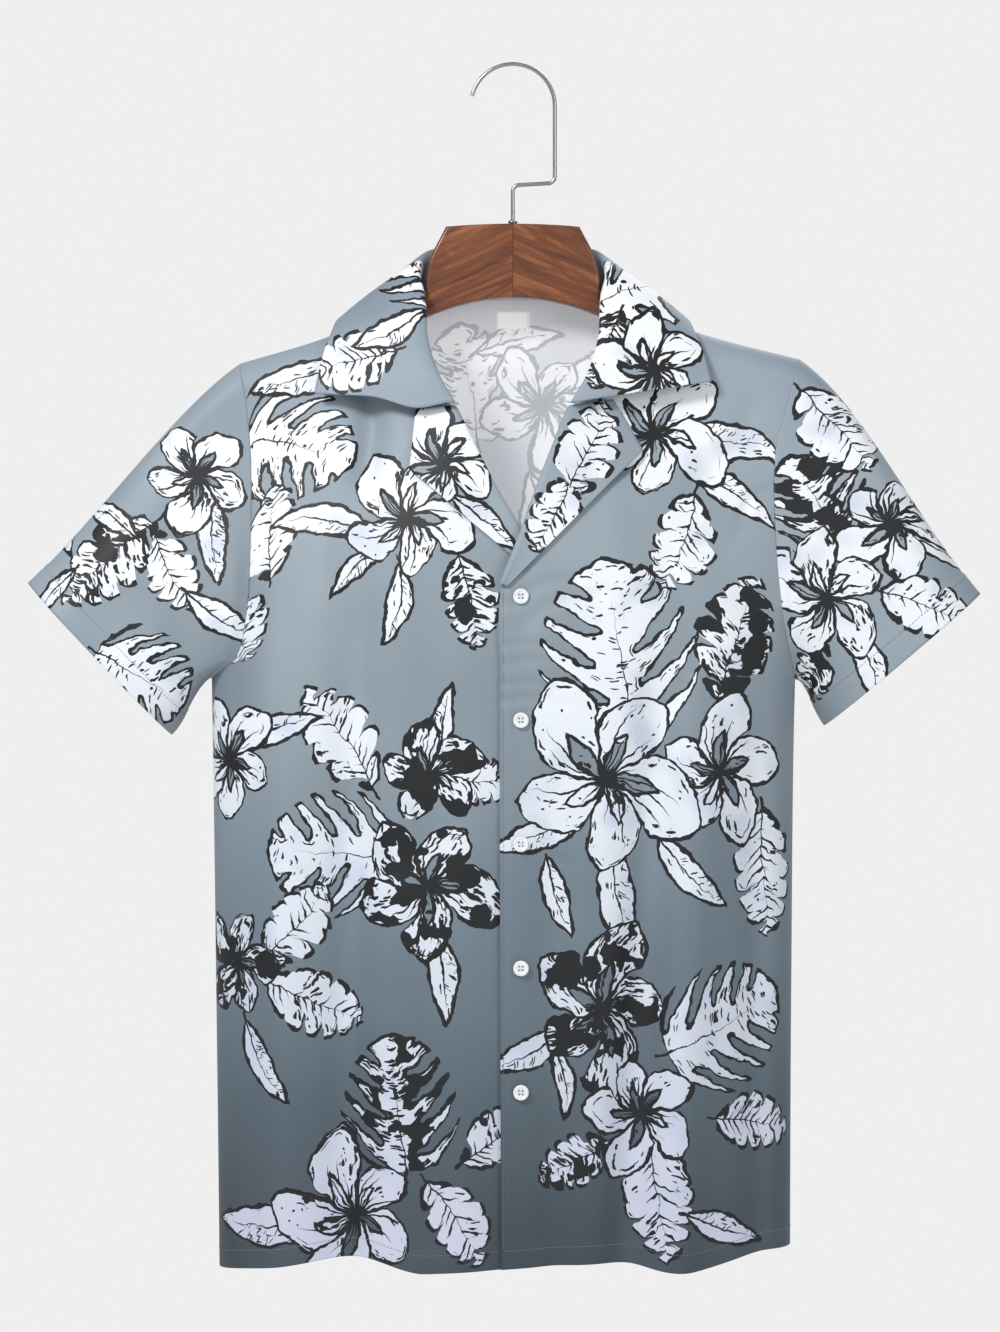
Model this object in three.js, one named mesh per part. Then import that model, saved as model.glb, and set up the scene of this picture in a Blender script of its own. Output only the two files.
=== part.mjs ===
// A short-sleeved camp-collar shirt, buttoned, hanging on a wooden hanger. Millimetres, +Z up.
// The shirt's front faces -Y, so the wearer's left is at +X. The origin is the inner top of the hook.
import * as THREE from "three";

// Cloth
const CLOTH = 1.5; // thickness of one cloth wall
const DOUBLED = 0.7; // how far a turned hem stands out
const SEAM_GAP = 0.3; // between two pieces that are sewn together
const HEM_DEPTH = 16; // of the turned bottom hem
const CUFF_DEPTH = 20; // of the turned sleeve hem

// Front closure
const PLACKET_EDGE_X = -9.6; // edge of the left front, which laps over
const UNDERLAP_EDGE_X = 22; // edge of the right front, under the lap
const LAP_STEP = 3.4; // how far the right front sinks to pass under the lap
const LAP_STEP_NECK = 5.4; // the same below the neck, where a lapel lies between the two
const LAP_NECK_FROM_Z = -440; // the step grows between these two heights
const LAP_NECK_TO_Z = -400;
const LAP_RUN = 48; // how far the right front takes to sink under the lap
const LAP_LEAD = 3; // and how far before the lap's edge it is down
const BUTTON_X = 5.7;
const TOP_BUTTON_Z = -399;
const BUTTON_SPACING = 90.6;
const BUTTON_COUNT = 5;
const BUTTON_RADIUS = 5.75;
const BUTTON_THICKNESS = 2.2;
const BUTTON_BEVEL = 0.5;
const BUTTON_CLEARANCE = 0.9; // the thread holds a button this far off the placket
const BUTTON_HOLES = 4;
const BUTTON_HOLE_RADIUS = 0.8;
const BUTTON_HOLE_SIDES = 6;
const BUTTON_HOLE_OFFSET = 1.7;

// Body
const ARMPIT_Z = -458;
const SHOULDER_ROUND = 22; // radius of the cloth over the hanger's arm
const SHOULDER_BLEND = 215; // drop over which the round top opens into the body's section
const SQUARENESS = 0.8; // exponent of the body's section, 1 for an ellipse

// Neckline of the back
const BACK_NECK_HALF = 74.4;
const BACK_NECK_Z = -180;
const BACK_NECK_RISE = 8.5; // how much higher the neckline is at the shoulder seams
const BACK_NECK_REACH = 140; // length of cloth below the neck that is fitted to the neckline

// Sleeves
const CUFF_HALF_DEPTH = 37; // half of the hem's opening from front to back
const SLEEVE_EASE = 0.75; // how far the sleeve keeps the direction that it leaves the armhole in
const SLEEVE_SEAM_STEP = 2 * SEAM_GAP; // from the armhole's edge to the sleeve's
const ARM_REST = { x: 0.82, z: -0.57 }; // direction of the sleeve's top as it leaves the shoulder
const UNDER_REST = { x: 0.9, z: 0.1 }; // the same at the underarm

// Collar and lapels
const COLLAR_ROLL = 2.6; // radius of the collar's fold
const COLLAR_TILT = 4.4; // how much higher the left point hangs than the middle, and the right one lower
const GORGE_DIP = 6; // how far the right collar's front edge sags at the notch
const GORGE_Z = -258.9; // where the collar ends and the lapels start
const LAPEL_ROLL = 2.4; // how far a lapel's roll line stands off the front
const LAPEL_CLEARANCE = 1.2;
const LAPEL_SPRING = 1.4; // how far a lapel's free edge stands off the front
const LAPEL_LIP = 1.4; // how far a lapel's roll wraps round the front's edge
const LAPEL_TUCK = 3; // how far its inside end goes in past the roll line
const LAPEL_SETBACK = 0.4; // from the front's edge to the start of the turned-back part

// Label at the back neck
const LABEL_WIDTH = 25;
const LABEL_HEIGHT = 13;
const LABEL_TOP_Z = -182;
const LABEL_THICKNESS = 0.6;
const LABEL_CLEARANCE = 1.2;

// Wooden body of the hanger
const WOOD_THICKNESS = 16;
const WOOD_BEVEL = 2.5;
const WOOD_TOP_Z = -118;
const BLOCK_TOP_HALF = 50;
const BLOCK_TOP_CORNER_Z = -121;
const BLOCK_SHOULDER_HALF = 60; // its sides lean out to here
const BLOCK_SHOULDER_Z = -140;
const BLOCK_HALF = 65.6;
const BLOCK_CURVE_Z = -152; // and turn upright about here
const BLOCK_SIDE_END_Z = -178; // where they meet the arms, under the collar
const ARM_START_X = 88;
const ARM_END_X = 192;
const ARM_HEIGHT = 16; // from top to underside, near the block, without its bevels
const ARM_END_HEIGHT = 16;
const ARM_TOP_CORNER = 8; // lengths of the rounded corners at an arm's end
const ARM_UNDER_CORNER = 12;
const ARM_CLEARANCE = CLOTH + 2.3; // below the shoulder line
const UNDERSIDE_TURN_X = 110; // the underside arches between these two places
const UNDERSIDE_CREST_Z = -131.4; // height that its curve is drawn towards

// Wire hook and ferrule
const WIRE_RADIUS = 1.5;
const HOOK_RADIUS = 31.5;
const HOOK_TIP_ANGLE = 166; // degrees round from the hook's straight side
const HOOK_STRAIGHT_Z = -60; // halfway down its straight side
const JOG_Z = -88.6; // where the wire steps back over the hanger's middle
const JOG_BEND = 5; // radius of the step's two bends
const JOG_DROP = 1.2; // how much lower the step is at the middle
const STEM_END_Z = WOOD_TOP_Z + 0.1; // just clear of the wood
const FERRULE_RADIUS = 3.6;
const FERRULE_HEIGHT = 2.2;
const FERRULE_CHAMFER = 0.8;

const materials = {
  cloth: { color: 0x8d9ba6, roughness: 0.55, metalness: 0 },
  button: { color: 0xeef0f2, roughness: 0.25, metalness: 0 },
  label: { color: 0xf4f4f2, roughness: 0.6, metalness: 0 },
  wood: { color: 0x6f3c22, roughness: 0.4, metalness: 0 },
  steel: { color: 0xb9bcc0, roughness: 0.25, metalness: 1 },
};

// Half widths and depths of the body at a few heights
const bodyRows = [
  { z: -910, right: 219.5, left: 207.5, front: 84, back: 82 },
  { z: -700, right: 222, left: 208.5, front: 84, back: 82 },
  { z: -458, right: 225.5, left: 211.5, front: 82, back: 80 },
  { z: -330, right: 229, left: 219, front: 77, back: 74 },
  { z: -130, right: 231, left: 227, front: 70, back: 66 },
];

// Height of the shoulder line, from past the right shoulder point to past the left one
const shoulderRows = [
  { x: -260, z: -241 },
  { x: -205, z: -223.5 },
  { x: -145, z: -205.5 },
  { x: -100, z: -187 },
  { x: -72, z: -171.5 },
  { x: 0, z: -140 },
  { x: 72, z: -171.5 },
  { x: 100, z: -186 },
  { x: 150, z: -203.5 },
  { x: 215, z: -220 },
  { x: 270, z: -234 },
];

// Armhole seams, from the armpit up to the shoulder point
const armholeRight = [
  { z: -459, x: -225 },
  { z: -444.8, x: -205.5 },
  { z: -414.5, x: -197.6 },
  { z: -373.8, x: -194.5 },
  { z: -302.3, x: -194.4 },
  { z: -252.8, x: -198.6 },
  { z: -223.6, x: -204.6 },
];
const armholeLeft = [
  { z: -460, x: 210.9 },
  { z: -441, x: 206 },
  { z: -414.5, x: 200.6 },
  { z: -363.5, x: 195.4 },
  { z: -292, x: 195.2 },
  { z: -254.3, x: 204.7 },
  { z: -219.8, x: 214.7 },
];

// Inner edge of each front from the break of the lapel up the roll line and the neck seam
const neckRight = [
  { z: -384, x: 18 },
  { z: -355, x: 6.5 },
  { z: -318, x: -14.7 },
  { z: -285, x: -31.6 },
  { z: -257, x: -45.5 },
  { z: -236, x: -62 },
  { z: -211, x: -70.6 },
  { z: -184, x: -73.4 },
  { z: -171.5, x: -74.4 },
];
const neckLeft = [
  { z: -394.5, x: PLACKET_EDGE_X + 0.6 },
  { z: -353.6, x: 7.2 },
  { z: -320.7, x: 18.9 },
  { z: -291.5, x: 30 },
  { z: -257, x: 44.5 },
  { z: -236, x: 62 },
  { z: -211, x: 70.6 },
  { z: -184, x: 73.4 },
  { z: -171.5, x: 74.4 },
];

// Height of the front's and the back's bottom edge
const hemFront = [
  { x: -222, z: -899 },
  { x: -180, z: -893 },
  { x: -130, z: -885.5 },
  { x: -110, z: -885 },
  { x: -82, z: -893.5 },
  { x: -66, z: -895.5 },
  { x: -10, z: -891 },
  { x: 54, z: -887.6 },
  { x: 85, z: -888 },
  { x: 115, z: -894 },
  { x: 134, z: -894.5 },
  { x: 185, z: -883 },
  { x: 210, z: -882 },
];
const hemBack = [
  { x: -222, z: -899 },
  { x: -120, z: -890 },
  { x: -40, z: -896 },
  { x: 40, z: -889 },
  { x: 130, z: -895 },
  { x: 210, z: -882 },
];

// Soft hanging folds: a negative depth is a trough, a positive one a ridge.
// top and bottom are where the fold starts and ends, drift is how far it moves sideways on the way.
const foldsFront = [
  { x: -98, drift: -12, width: 26, depth: -9, top: -262, bottom: -960 },
  { x: -62, drift: -4, width: 26, depth: 6, top: -420, bottom: -960 },
  { x: -165, drift: -6, width: 24, depth: 5, top: -430, bottom: -960 },
  { x: 112, drift: -38, width: 22, depth: -7, top: -360, bottom: -960 },
  { x: 132, drift: -8, width: 24, depth: 6, top: -560, bottom: -960 },
  { x: 176, drift: 4, width: 20, depth: -4, top: -470, bottom: -960 },
  { x: 45, drift: 6, width: 24, depth: 3, top: -600, bottom: -960 },
];
const foldsBack = [
  { x: -140, drift: -10, width: 26, depth: -8, top: -330, bottom: -960 },
  { x: -92, drift: -4, width: 24, depth: 6, top: -480, bottom: -960 },
  { x: -28, drift: 8, width: 30, depth: -6, top: -400, bottom: -960 },
  { x: 34, drift: 6, width: 28, depth: 5, top: -520, bottom: -960 },
  { x: 96, drift: -6, width: 26, depth: -8, top: -350, bottom: -960 },
  { x: 150, drift: 4, width: 24, depth: 5, top: -450, bottom: -960 },
];

// Half of the collar, place 0 at the back centre to place 7 at the gorge. The other half mirrors it.
// Where it is sewn in at the neck
const collarSeam = [
  { place: 0, x: 0, y: 29, z: -179 },
  { place: 1, x: 36, y: 26, z: -178 },
  { place: 2, x: 62, y: 15, z: -173 },
  { place: 3, x: 72.8, y: 0, z: -168.8 },
  { place: 4, x: 70, y: -18, z: -184 },
  { place: 5, x: 67.5, y: -33, z: -210 },
  { place: 6, x: 59.5, y: -44, z: -235 },
  { place: 7, x: 45.5, y: -50, z: -256 },
];
// Where it turns over
const collarFold = [
  { place: 0, x: 0, y: 36, z: -132 },
  { place: 1, x: 35, y: 31, z: -133 },
  { place: 2, x: 62.5, y: 16, z: -138 },
  { place: 3, x: 71, y: -3, z: -153 },
  { place: 4, x: 66.5, y: -22, z: -176 },
  { place: 5, x: 64.5, y: -38, z: -206 },
  { place: 6, x: 56.5, y: -50, z: -233 },
  { place: 7, x: 43.8, y: -56, z: -256 },
];
// Its free edge, down to the point
const collarEdge = [
  { place: 0, x: 0, y: 47, z: -190 },
  { place: 1, x: 48, y: 43, z: -192 },
  { place: 2, x: 96, y: 33, z: -194 },
  { place: 3, x: 126, y: 4, z: -188 },
  { place: 4, x: 136, y: -20, z: -204 },
  { place: 5, x: 142, y: -29, z: -221 },
  { place: 6, x: 145, y: -34, z: -234 },
  { place: 7, x: 147, y: -38, z: -243.5 },
];
// How far the fall bulges between the fold and the edge
const collarFall = [
  { share: 0.25, liftBack: 4.5, liftFront: 3 },
  { share: 0.55, liftBack: 4.5, liftFront: 2 },
  { share: 0.8, liftBack: 2.5, liftFront: 1 },
];

// Lapels: the free corners of each
const lapelLeft = { notchX: 73.4, notchZ: -252.8, tipX: 95.2, tipZ: -291.7 };
const lapelRight = { notchX: -71.3, notchZ: -260.4, tipX: -75.5, tipZ: -306.4 };

// Sleeve hems: the outer and inner tip seen from the front
const cuffRight = { outerX: -363, outerZ: -388, innerX: -256, innerZ: -501 };
const cuffLeft = { outerX: 350, outerZ: -396, innerX: 234, innerZ: -494 };

// Soft folds of a sleeve: around is 0 at the top and 1 at the underarm, along is 0 at the armhole
// and 1 at the hem
const sleeveFolds = [
  { around: 0.86, along: 0.2, wide: 0.13, long: 0.3, depth: -5 },
  { around: 0.62, along: 0.12, wide: 0.12, long: 0.25, depth: 4 },
  { around: 0.45, along: 0.55, wide: 0.1, long: 0.4, depth: -3 },
  { around: 0.3, along: 0.9, wide: 0.08, long: 0.3, depth: 3 },
];

const { lerp, clamp } = THREE.MathUtils;

function softStep(value, from, to) {
  const share = clamp((value - from) / (to - from), 0, 1);
  return share * share * (3 - 2 * share);
}

// Smooth value of a column at a key, through the rows of a table
function along(rows, key, at, column) {
  const rising = rows[0][key] < rows[rows.length - 1][key];
  const list = rising ? rows : [...rows].reverse();
  const last = list.length - 1;
  if (at <= list[0][key]) return list[0][column];
  if (at >= list[last][key]) return list[last][column];
  const i = list.findIndex((row) => row[key] > at) - 1;
  const slope = (a, b) => (list[b][column] - list[a][column]) / (list[b][key] - list[a][key]);
  const span = list[i + 1][key] - list[i][key];
  const share = (at - list[i][key]) / span;
  const startSlope = i > 0 ? slope(i - 1, i + 1) : slope(i, i + 1);
  const endSlope = i + 1 < last ? slope(i, i + 2) : slope(i, i + 1);
  const s2 = share * share;
  const s3 = s2 * share;
  return (
    (2 * s3 - 3 * s2 + 1) * list[i][column] +
    (s3 - 2 * s2 + share) * span * startSlope +
    (3 * s2 - 2 * s3) * list[i + 1][column] +
    (s3 - s2) * span * endSlope
  );
}

const shoulderLine = (x) => along(shoulderRows, "x", x, "z");

function foldDepth(folds, x, z) {
  let sum = 0;
  for (const fold of folds) {
    const down = clamp((fold.top - z) / (fold.top - fold.bottom), 0, 1);
    const offset = (x - fold.x - fold.drift * down) / fold.width;
    sum += fold.depth * softStep(down, 0, 0.35) * Math.exp(-offset * offset);
  }
  return sum;
}

// Where a point of the body at x and z lies: across from 0 at the right side seam to 1 at the left
// one, and reach, the length down the cloth from the shoulder line
function bodyPlace(x, z) {
  const right = along(bodyRows, "z", z, "right");
  const left = along(bodyRows, "z", z, "left");
  const share = clamp((x - (left - right) / 2) / ((left + right) / 2), -1, 1);
  const turned = Math.sign(share) * Math.abs(share) ** (1 / SQUARENESS);
  const drop = Math.max(0, shoulderLine(x) - z);
  const quarter = (SHOULDER_ROUND * Math.PI) / 2;
  const reach =
    drop < SHOULDER_ROUND
      ? SHOULDER_ROUND * Math.acos(1 - drop / SHOULDER_ROUND)
      : drop - SHOULDER_ROUND + quarter;
  return { across: Math.acos(-turned) / Math.PI, reach };
}

// The body's surface, moved in by inset. face is -1 for the front and 1 for the back.
function bodyPoint(place, face, inset) {
  const angle = Math.PI * place.across;
  const sideways = -Math.cos(angle);
  const outward = Math.sin(angle) ** SQUARENESS;
  const spread = Math.sign(sideways) * Math.abs(sideways) ** SQUARENESS;
  const quarter = (SHOULDER_ROUND * Math.PI) / 2;
  const turn = Math.min(place.reach / SHOULDER_ROUND, Math.PI / 2);
  const straight = Math.max(0, place.reach - quarter);
  const drop = SHOULDER_ROUND * (1 - Math.cos(turn)) + straight;
  const insideDrop = inset + (SHOULDER_ROUND - inset) * (1 - Math.cos(turn)) + straight;
  const top = (SHOULDER_ROUND - inset) * Math.sin(turn);
  let z = ARMPIT_Z;
  let x = 0;
  for (let pass = 0; pass < 4; pass += 1) {
    const right = along(bodyRows, "z", z, "right") - inset;
    const left = along(bodyRows, "z", z, "left") - inset;
    x = (left - right) / 2 + ((left + right) / 2) * spread;
    z = shoulderLine(x) - drop;
  }
  const depth = along(bodyRows, "z", z, face < 0 ? "front" : "back") - inset;
  const open = softStep(drop, 0, SHOULDER_BLEND);
  const folds = face < 0 ? foldsFront : foldsBack;
  const fold = foldDepth(folds, x, z) * open * softStep(outward, 0.25, 0.8);
  const y = lerp(top, depth * outward, open) + fold + SEAM_GAP / 2;
  return new THREE.Vector3(x, face * y, shoulderLine(x) - insideDrop);
}

const frontAt = (x, z, inset = 0) => bodyPoint(bodyPlace(x, z), -1, inset);

// Moves points out of the front's surface by a height: the front faces -Y
function raised(x, z, height) {
  const step = 2;
  const here = frontAt(x, z);
  const beside = frontAt(x + step, z).sub(here);
  const below = frontAt(x, z - step).sub(here);
  const normal = beside.cross(below).normalize();
  if (normal.y > 0) normal.negate();
  return here.addScaledVector(normal, height);
}

// A closed wall from two grids of points with the same rows and columns. ring joins the last
// column to the first, as on a sleeve.
function wall(outer, inner, ring = false) {
  const rows = outer.length;
  const columns = outer[0].length;
  const positions = [];
  for (const grid of [outer, inner])
    for (const row of grid) for (const point of row) positions.push(point.x, point.y, point.z);
  const at = (layer, row, column) => layer * rows * columns + row * columns + (column % columns);
  const faces = [];
  const quad = (a, b, c, d) => faces.push(a, b, c, a, c, d);
  const lastColumn = ring ? columns : columns - 1;
  for (let r = 0; r + 1 < rows; r += 1)
    for (let c = 0; c < lastColumn; c += 1) {
      quad(at(0, r, c), at(0, r, c + 1), at(0, r + 1, c + 1), at(0, r + 1, c));
      quad(at(1, r, c), at(1, r + 1, c), at(1, r + 1, c + 1), at(1, r, c + 1));
    }
  for (let c = 0; c < lastColumn; c += 1) {
    quad(at(0, 0, c), at(1, 0, c), at(1, 0, c + 1), at(0, 0, c + 1));
    quad(at(0, rows - 1, c), at(0, rows - 1, c + 1), at(1, rows - 1, c + 1), at(1, rows - 1, c));
  }
  if (!ring)
    for (let r = 0; r + 1 < rows; r += 1) {
      quad(at(0, r, 0), at(0, r + 1, 0), at(1, r + 1, 0), at(1, r, 0));
      const c = columns - 1;
      quad(at(0, r, c), at(1, r, c), at(1, r + 1, c), at(0, r + 1, c));
    }
  const geometry = new THREE.BufferGeometry();
  geometry.setAttribute("position", new THREE.Float32BufferAttribute(positions, 3));
  geometry.setIndex(signedVolume(positions, faces) < 0 ? faces.reverse() : faces);
  return geometry;
}

function signedVolume(positions, faces) {
  const corner = (i) => new THREE.Vector3().fromArray(positions, 3 * i);
  let sum = 0;
  for (let i = 0; i < faces.length; i += 3)
    sum += corner(faces[i]).dot(corner(faces[i + 1]).cross(corner(faces[i + 2])));
  return sum / 6;
}

const shirt = new THREE.Group();

function addPiece(name, geometry, material) {
  const mesh = new THREE.Mesh(geometry, new THREE.MeshStandardMaterial(materials[material]));
  mesh.name = name;
  shirt.add(mesh);
  return mesh;
}

// Rows of a panel: even steps below the armpit, then shares of the armhole's length, closer
// together where it turns at the armpit and where the cloth rounds over the hanger's arm
const lowerRows = 10;
const upperShares = [
  0, 0.03, 0.065, 0.105, 0.155, 0.22, 0.31, 0.42, 0.54, 0.66, 0.76, 0.84, 0.9, 0.945, 0.977, 1,
];
const upperRows = upperShares.length - 1;

// A panel's grid in place coordinates. outside(share) and inside(share) give the x and z of its
// two long edges above the armpit, as share goes from 0 there to 1 at the shoulder seam.
function panelPlaces(columns, hem, edges) {
  const rows = [];
  const waistReach = 300; // any place well below the shoulders
  const ladder = [0, HEM_DEPTH - 0.6, HEM_DEPTH];
  for (let i = 0; i <= lowerRows + upperRows + 2; i += 1) {
    const upper = i - (lowerRows + 2);
    const row = [];
    for (let c = 0; c <= columns; c += 1) {
      const u = c / columns;
      if (upper <= 0) {
        const z = ARMPIT_Z;
        const outerX = edges.sideX(z);
        const innerX = edges.innerX(z);
        const from = bodyPlace(outerX, z).across;
        const to = bodyPlace(innerX, z).across;
        const across = lerp(from, to, u);
        const x = bodyPoint({ across, reach: waistReach }, -1, 0).x;
        const bottom = along(hem, "x", x, "z");
        const height =
          i < 3 ? bottom + ladder[i] : lerp(bottom + HEM_DEPTH, ARMPIT_Z, (i - 2) / lowerRows);
        row.push({ across, reach: bodyPlace(x, height).reach });
      } else {
        const v = upperShares[upper];
        const outer = edges.outer(v);
        const inner = edges.inner(v);
        const outerPlace = bodyPlace(outer.x, outer.z);
        const innerPlace = bodyPlace(inner.x, inner.z);
        const across = lerp(outerPlace.across, innerPlace.across, u);
        const level = lerp(outer.z, inner.z, u);
        const x = bodyPoint({ across, reach: shoulderLine(0) - level }, -1, 0).x;
        const blend = softStep(v, 0.5, 1);
        const reach = lerp(
          bodyPlace(x, level).reach,
          lerp(outerPlace.reach, innerPlace.reach, u),
          blend,
        );
        row.push({ across, reach: v < 1 ? reach : 0 });
      }
    }
    rows.push(row);
  }
  return rows;
}

// A point on an edge table by its share of the edge's length on the body
function edgePoint(rows, share) {
  const steps = 90;
  const edge = [];
  let length = 0;
  for (let i = 0; i <= steps; i += 1) {
    const z = lerp(rows[0].z, rows[rows.length - 1].z, (i / steps) ** 1.5);
    const x = along(rows, "z", z, "x");
    const point = bodyPoint(bodyPlace(x, z), -1, 0);
    if (i > 0) length += point.distanceTo(edge[i - 1].point);
    edge.push({ x, z, point, length });
  }
  const wanted = share * length;
  const i = Math.max(1, edge.findIndex((entry) => entry.length >= wanted - 1e-6));
  const part = (wanted - edge[i - 1].length) / (edge[i].length - edge[i - 1].length);
  return { x: lerp(edge[i - 1].x, edge[i].x, part), z: lerp(edge[i - 1].z, edge[i].z, part) };
}

// How far the right front lies below the left one
function lapStep(x, z) {
  const step = lerp(LAP_STEP, LAP_STEP_NECK, softStep(z, LAP_NECK_FROM_Z, LAP_NECK_TO_Z));
  return step * softStep(x, PLACKET_EDGE_X - LAP_RUN, PLACKET_EDGE_X - LAP_LEAD);
}

const inHem = (rowIndex) => (rowIndex < 2 ? DOUBLED : 0);

function frontPanel(side) {
  const isLeft = side > 0;
  const armhole = isLeft ? armholeLeft : armholeRight;
  const neck = isLeft ? neckLeft : neckRight;
  const edgeX = isLeft ? PLACKET_EDGE_X : UNDERLAP_EDGE_X;
  const innerPath = [{ z: ARMPIT_Z, x: edgeX }, ...neck];
  const places = panelPlaces(14, hemFront, {
    sideX: (z) => side * along(bodyRows, "z", z, isLeft ? "left" : "right"),
    innerX: () => edgeX,
    outer: (v) => edgePoint(armhole, v),
    inner: (v) => edgePoint(innerPath, v),
  });
  const layer = (inset) =>
    places.map((row, i) =>
      row.map((place) => {
        const point = bodyPoint(place, -1, inset - (inset > 0 ? 0 : inHem(i)));
        if (!isLeft) point.y += lapStep(point.x, point.z);
        return point;
      }),
    );
  return { outer: layer(0), inner: layer(CLOTH) };
}

const fronts = { left: frontPanel(1), right: frontPanel(-1) };
addPiece("front_left", wall(fronts.left.outer, fronts.left.inner), "cloth");
addPiece("front_right", wall(fronts.right.outer, fronts.right.inner), "cloth");

// The back runs from side seam to side seam, so its grid has the armhole at both ends and the
// neckline in the middle of its top edge
const backNeckZ = (x) => BACK_NECK_Z + BACK_NECK_RISE * (Math.abs(x) / BACK_NECK_HALF) ** 3;

function backPanel() {
  const columns = 26;
  const leftEdge = (v) => edgePoint(armholeLeft, v);
  const rightEdge = (v) => edgePoint(armholeRight, v);
  const places = panelPlaces(columns, hemBack, {
    sideX: (z) => -along(bodyRows, "z", z, "right"),
    innerX: (z) => along(bodyRows, "z", z, "left"),
    outer: rightEdge,
    inner: leftEdge,
  });
  for (const row of places)
    for (const place of row) {
      const x = bodyPoint(place, 1, 0).x;
      if (Math.abs(x) >= BACK_NECK_HALF) continue;
      const top = bodyPlace(x, backNeckZ(x)).reach;
      const share = Math.min(1, place.reach / BACK_NECK_REACH);
      if (share < 1) place.reach = lerp(top, BACK_NECK_REACH, share);
    }
  const layer = (inset) =>
    places.map((row, i) =>
      row.map((place) => bodyPoint(place, 1, inset - (inset > 0 ? 0 : inHem(i)))),
    );
  return { outer: layer(0), inner: layer(CLOTH) };
}

const back = backPanel();
addPiece("back", wall(back.outer, back.inner), "cloth");

// Sleeves: tubes from the armhole seam to an oval hem. Around the tube, share 0 is the top and
// share 1 the underarm.

// The armhole seam of the two panels as one ring, from the shoulder down the front and up the back
function armholeRing(frontGrid, backGrid, backColumn) {
  const first = lowerRows + 2;
  const last = frontGrid.length - 1;
  const middle = (a, b) => a.clone().add(b).multiplyScalar(0.5);
  const ring = [middle(frontGrid[last][0], backGrid[last][backColumn])];
  for (let i = last - 1; i > first; i -= 1) ring.push(frontGrid[i][0].clone());
  ring.push(middle(frontGrid[first][0], backGrid[first][backColumn]));
  for (let i = first + 1; i < last; i += 1) ring.push(backGrid[i][backColumn].clone());
  return ring;
}

function sleeve(side, cuff, rings) {
  const count = rings.outer.length;
  const across = new THREE.Vector3(cuff.outerX - cuff.innerX, 0, cuff.outerZ - cuff.innerZ);
  const halfWidth = across.length() / 2;
  across.normalize();
  const centre = new THREE.Vector3(
    (cuff.outerX + cuff.innerX) / 2,
    0,
    (cuff.outerZ + cuff.innerZ) / 2,
  );
  const outOfCuff = new THREE.Vector3(side * across.z, 0, -side * across.x);
  const plainRows = 8;
  const layer = (ring, inset) => {
    const grid = [];
    for (let r = 0; r <= plainRows + 2; r += 1) {
      const row = [];
      for (let c = 0; c < count; c += 1) {
        const turn = (2 * Math.PI * c) / count;
        const share = c <= count / 2 ? (2 * c) / count : 2 - (2 * c) / count;
        const front = c <= count / 2 ? -1 : 1;
        const seamStep = new THREE.Vector3(side, 0, lerp(-0.2, 0.8, share)).setLength(SLEEVE_SEAM_STEP);
        const start = ring[c].clone().add(seamStep);
        const end = centre
          .clone()
          .addScaledVector(across, (halfWidth - inset) * Math.cos(turn))
          .setY(-(CUFF_HALF_DEPTH - inset) * Math.sin(turn));
        const length = start.distanceTo(end);
        const bandStart = 1 - CUFF_DEPTH / length;
        const steps = [bandStart, bandStart + 0.8 / length, 1];
        const v = r < plainRows ? (bandStart * r) / plainRows : steps[r - plainRows];
        const leave = new THREE.Vector3(
          side * lerp(ARM_REST.x, UNDER_REST.x, share),
          0,
          lerp(ARM_REST.z, UNDER_REST.z, share),
        );
        const v2 = v * v;
        const v3 = v2 * v;
        const point = start
          .multiplyScalar(2 * v3 - 3 * v2 + 1)
          .addScaledVector(leave, (v3 - 2 * v2 + v) * length * SLEEVE_EASE)
          .addScaledVector(end, 3 * v2 - 2 * v3)
          .addScaledVector(outOfCuff, (v3 - v2) * length);
        let fold = 0;
        for (const f of sleeveFolds) {
          const wide = (share - f.around) / f.wide;
          const long = (v - f.along) / f.long;
          fold += f.depth * Math.exp(-wide * wide - long * long);
        }
        const taper = softStep(v, 0, 0.15) * Math.abs(Math.sin(turn)) ** 0.5;
        point.y += front * fold * taper;
        if (inset === 0 && r > plainRows) {
          const radial = across
            .clone()
            .multiplyScalar(Math.cos(turn))
            .setY(-Math.sin(turn));
          point.addScaledVector(radial, DOUBLED);
        }
        row.push(point);
      }
      grid.push(row);
    }
    return grid;
  };
  return wall(layer(rings.outer, 0), layer(rings.inner, CLOTH), true);
}

const backLast = back.outer[0].length - 1;
addPiece(
  "sleeve_left",
  sleeve(1, cuffLeft, {
    outer: armholeRing(fronts.left.outer, back.outer, backLast),
    inner: armholeRing(fronts.left.inner, back.inner, backLast),
  }),
  "cloth",
);
addPiece(
  "sleeve_right",
  sleeve(-1, cuffRight, {
    outer: armholeRing(fronts.right.outer, back.outer, 0),
    inner: armholeRing(fronts.right.inner, back.inner, 0),
  }),
  "cloth",
);

// Moves a grid of points back along its own normals, for the wall's second face
function offsetGrid(grid, distance) {
  const rows = grid.length;
  const columns = grid[0].length;
  return grid.map((row, r) =>
    row.map((point, c) => {
      const down = grid[Math.min(r + 1, rows - 1)][c].clone().sub(grid[Math.max(r - 1, 0)][c]);
      const over = row[Math.min(c + 1, columns - 1)].clone().sub(row[Math.max(c - 1, 0)]);
      const normal = down.cross(over).normalize();
      return point.clone().addScaledVector(normal, distance);
    }),
  );
}

// Collar: each station is a curve from the neck seam up to the fold and down to the free edge
function wholeCollar(half) {
  const mirrored = half.slice(1).map((row) => ({ ...row, place: -row.place, x: -row.x }));
  return [...mirrored.reverse(), ...half];
}

const seamStations = wholeCollar(collarSeam);
const foldStations = wholeCollar(collarFold);
const edgeStations = wholeCollar(collarEdge);
const collarEnd = collarSeam[collarSeam.length - 1].place;
const collarShoulder = 3; // place of the shoulder seam

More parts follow.
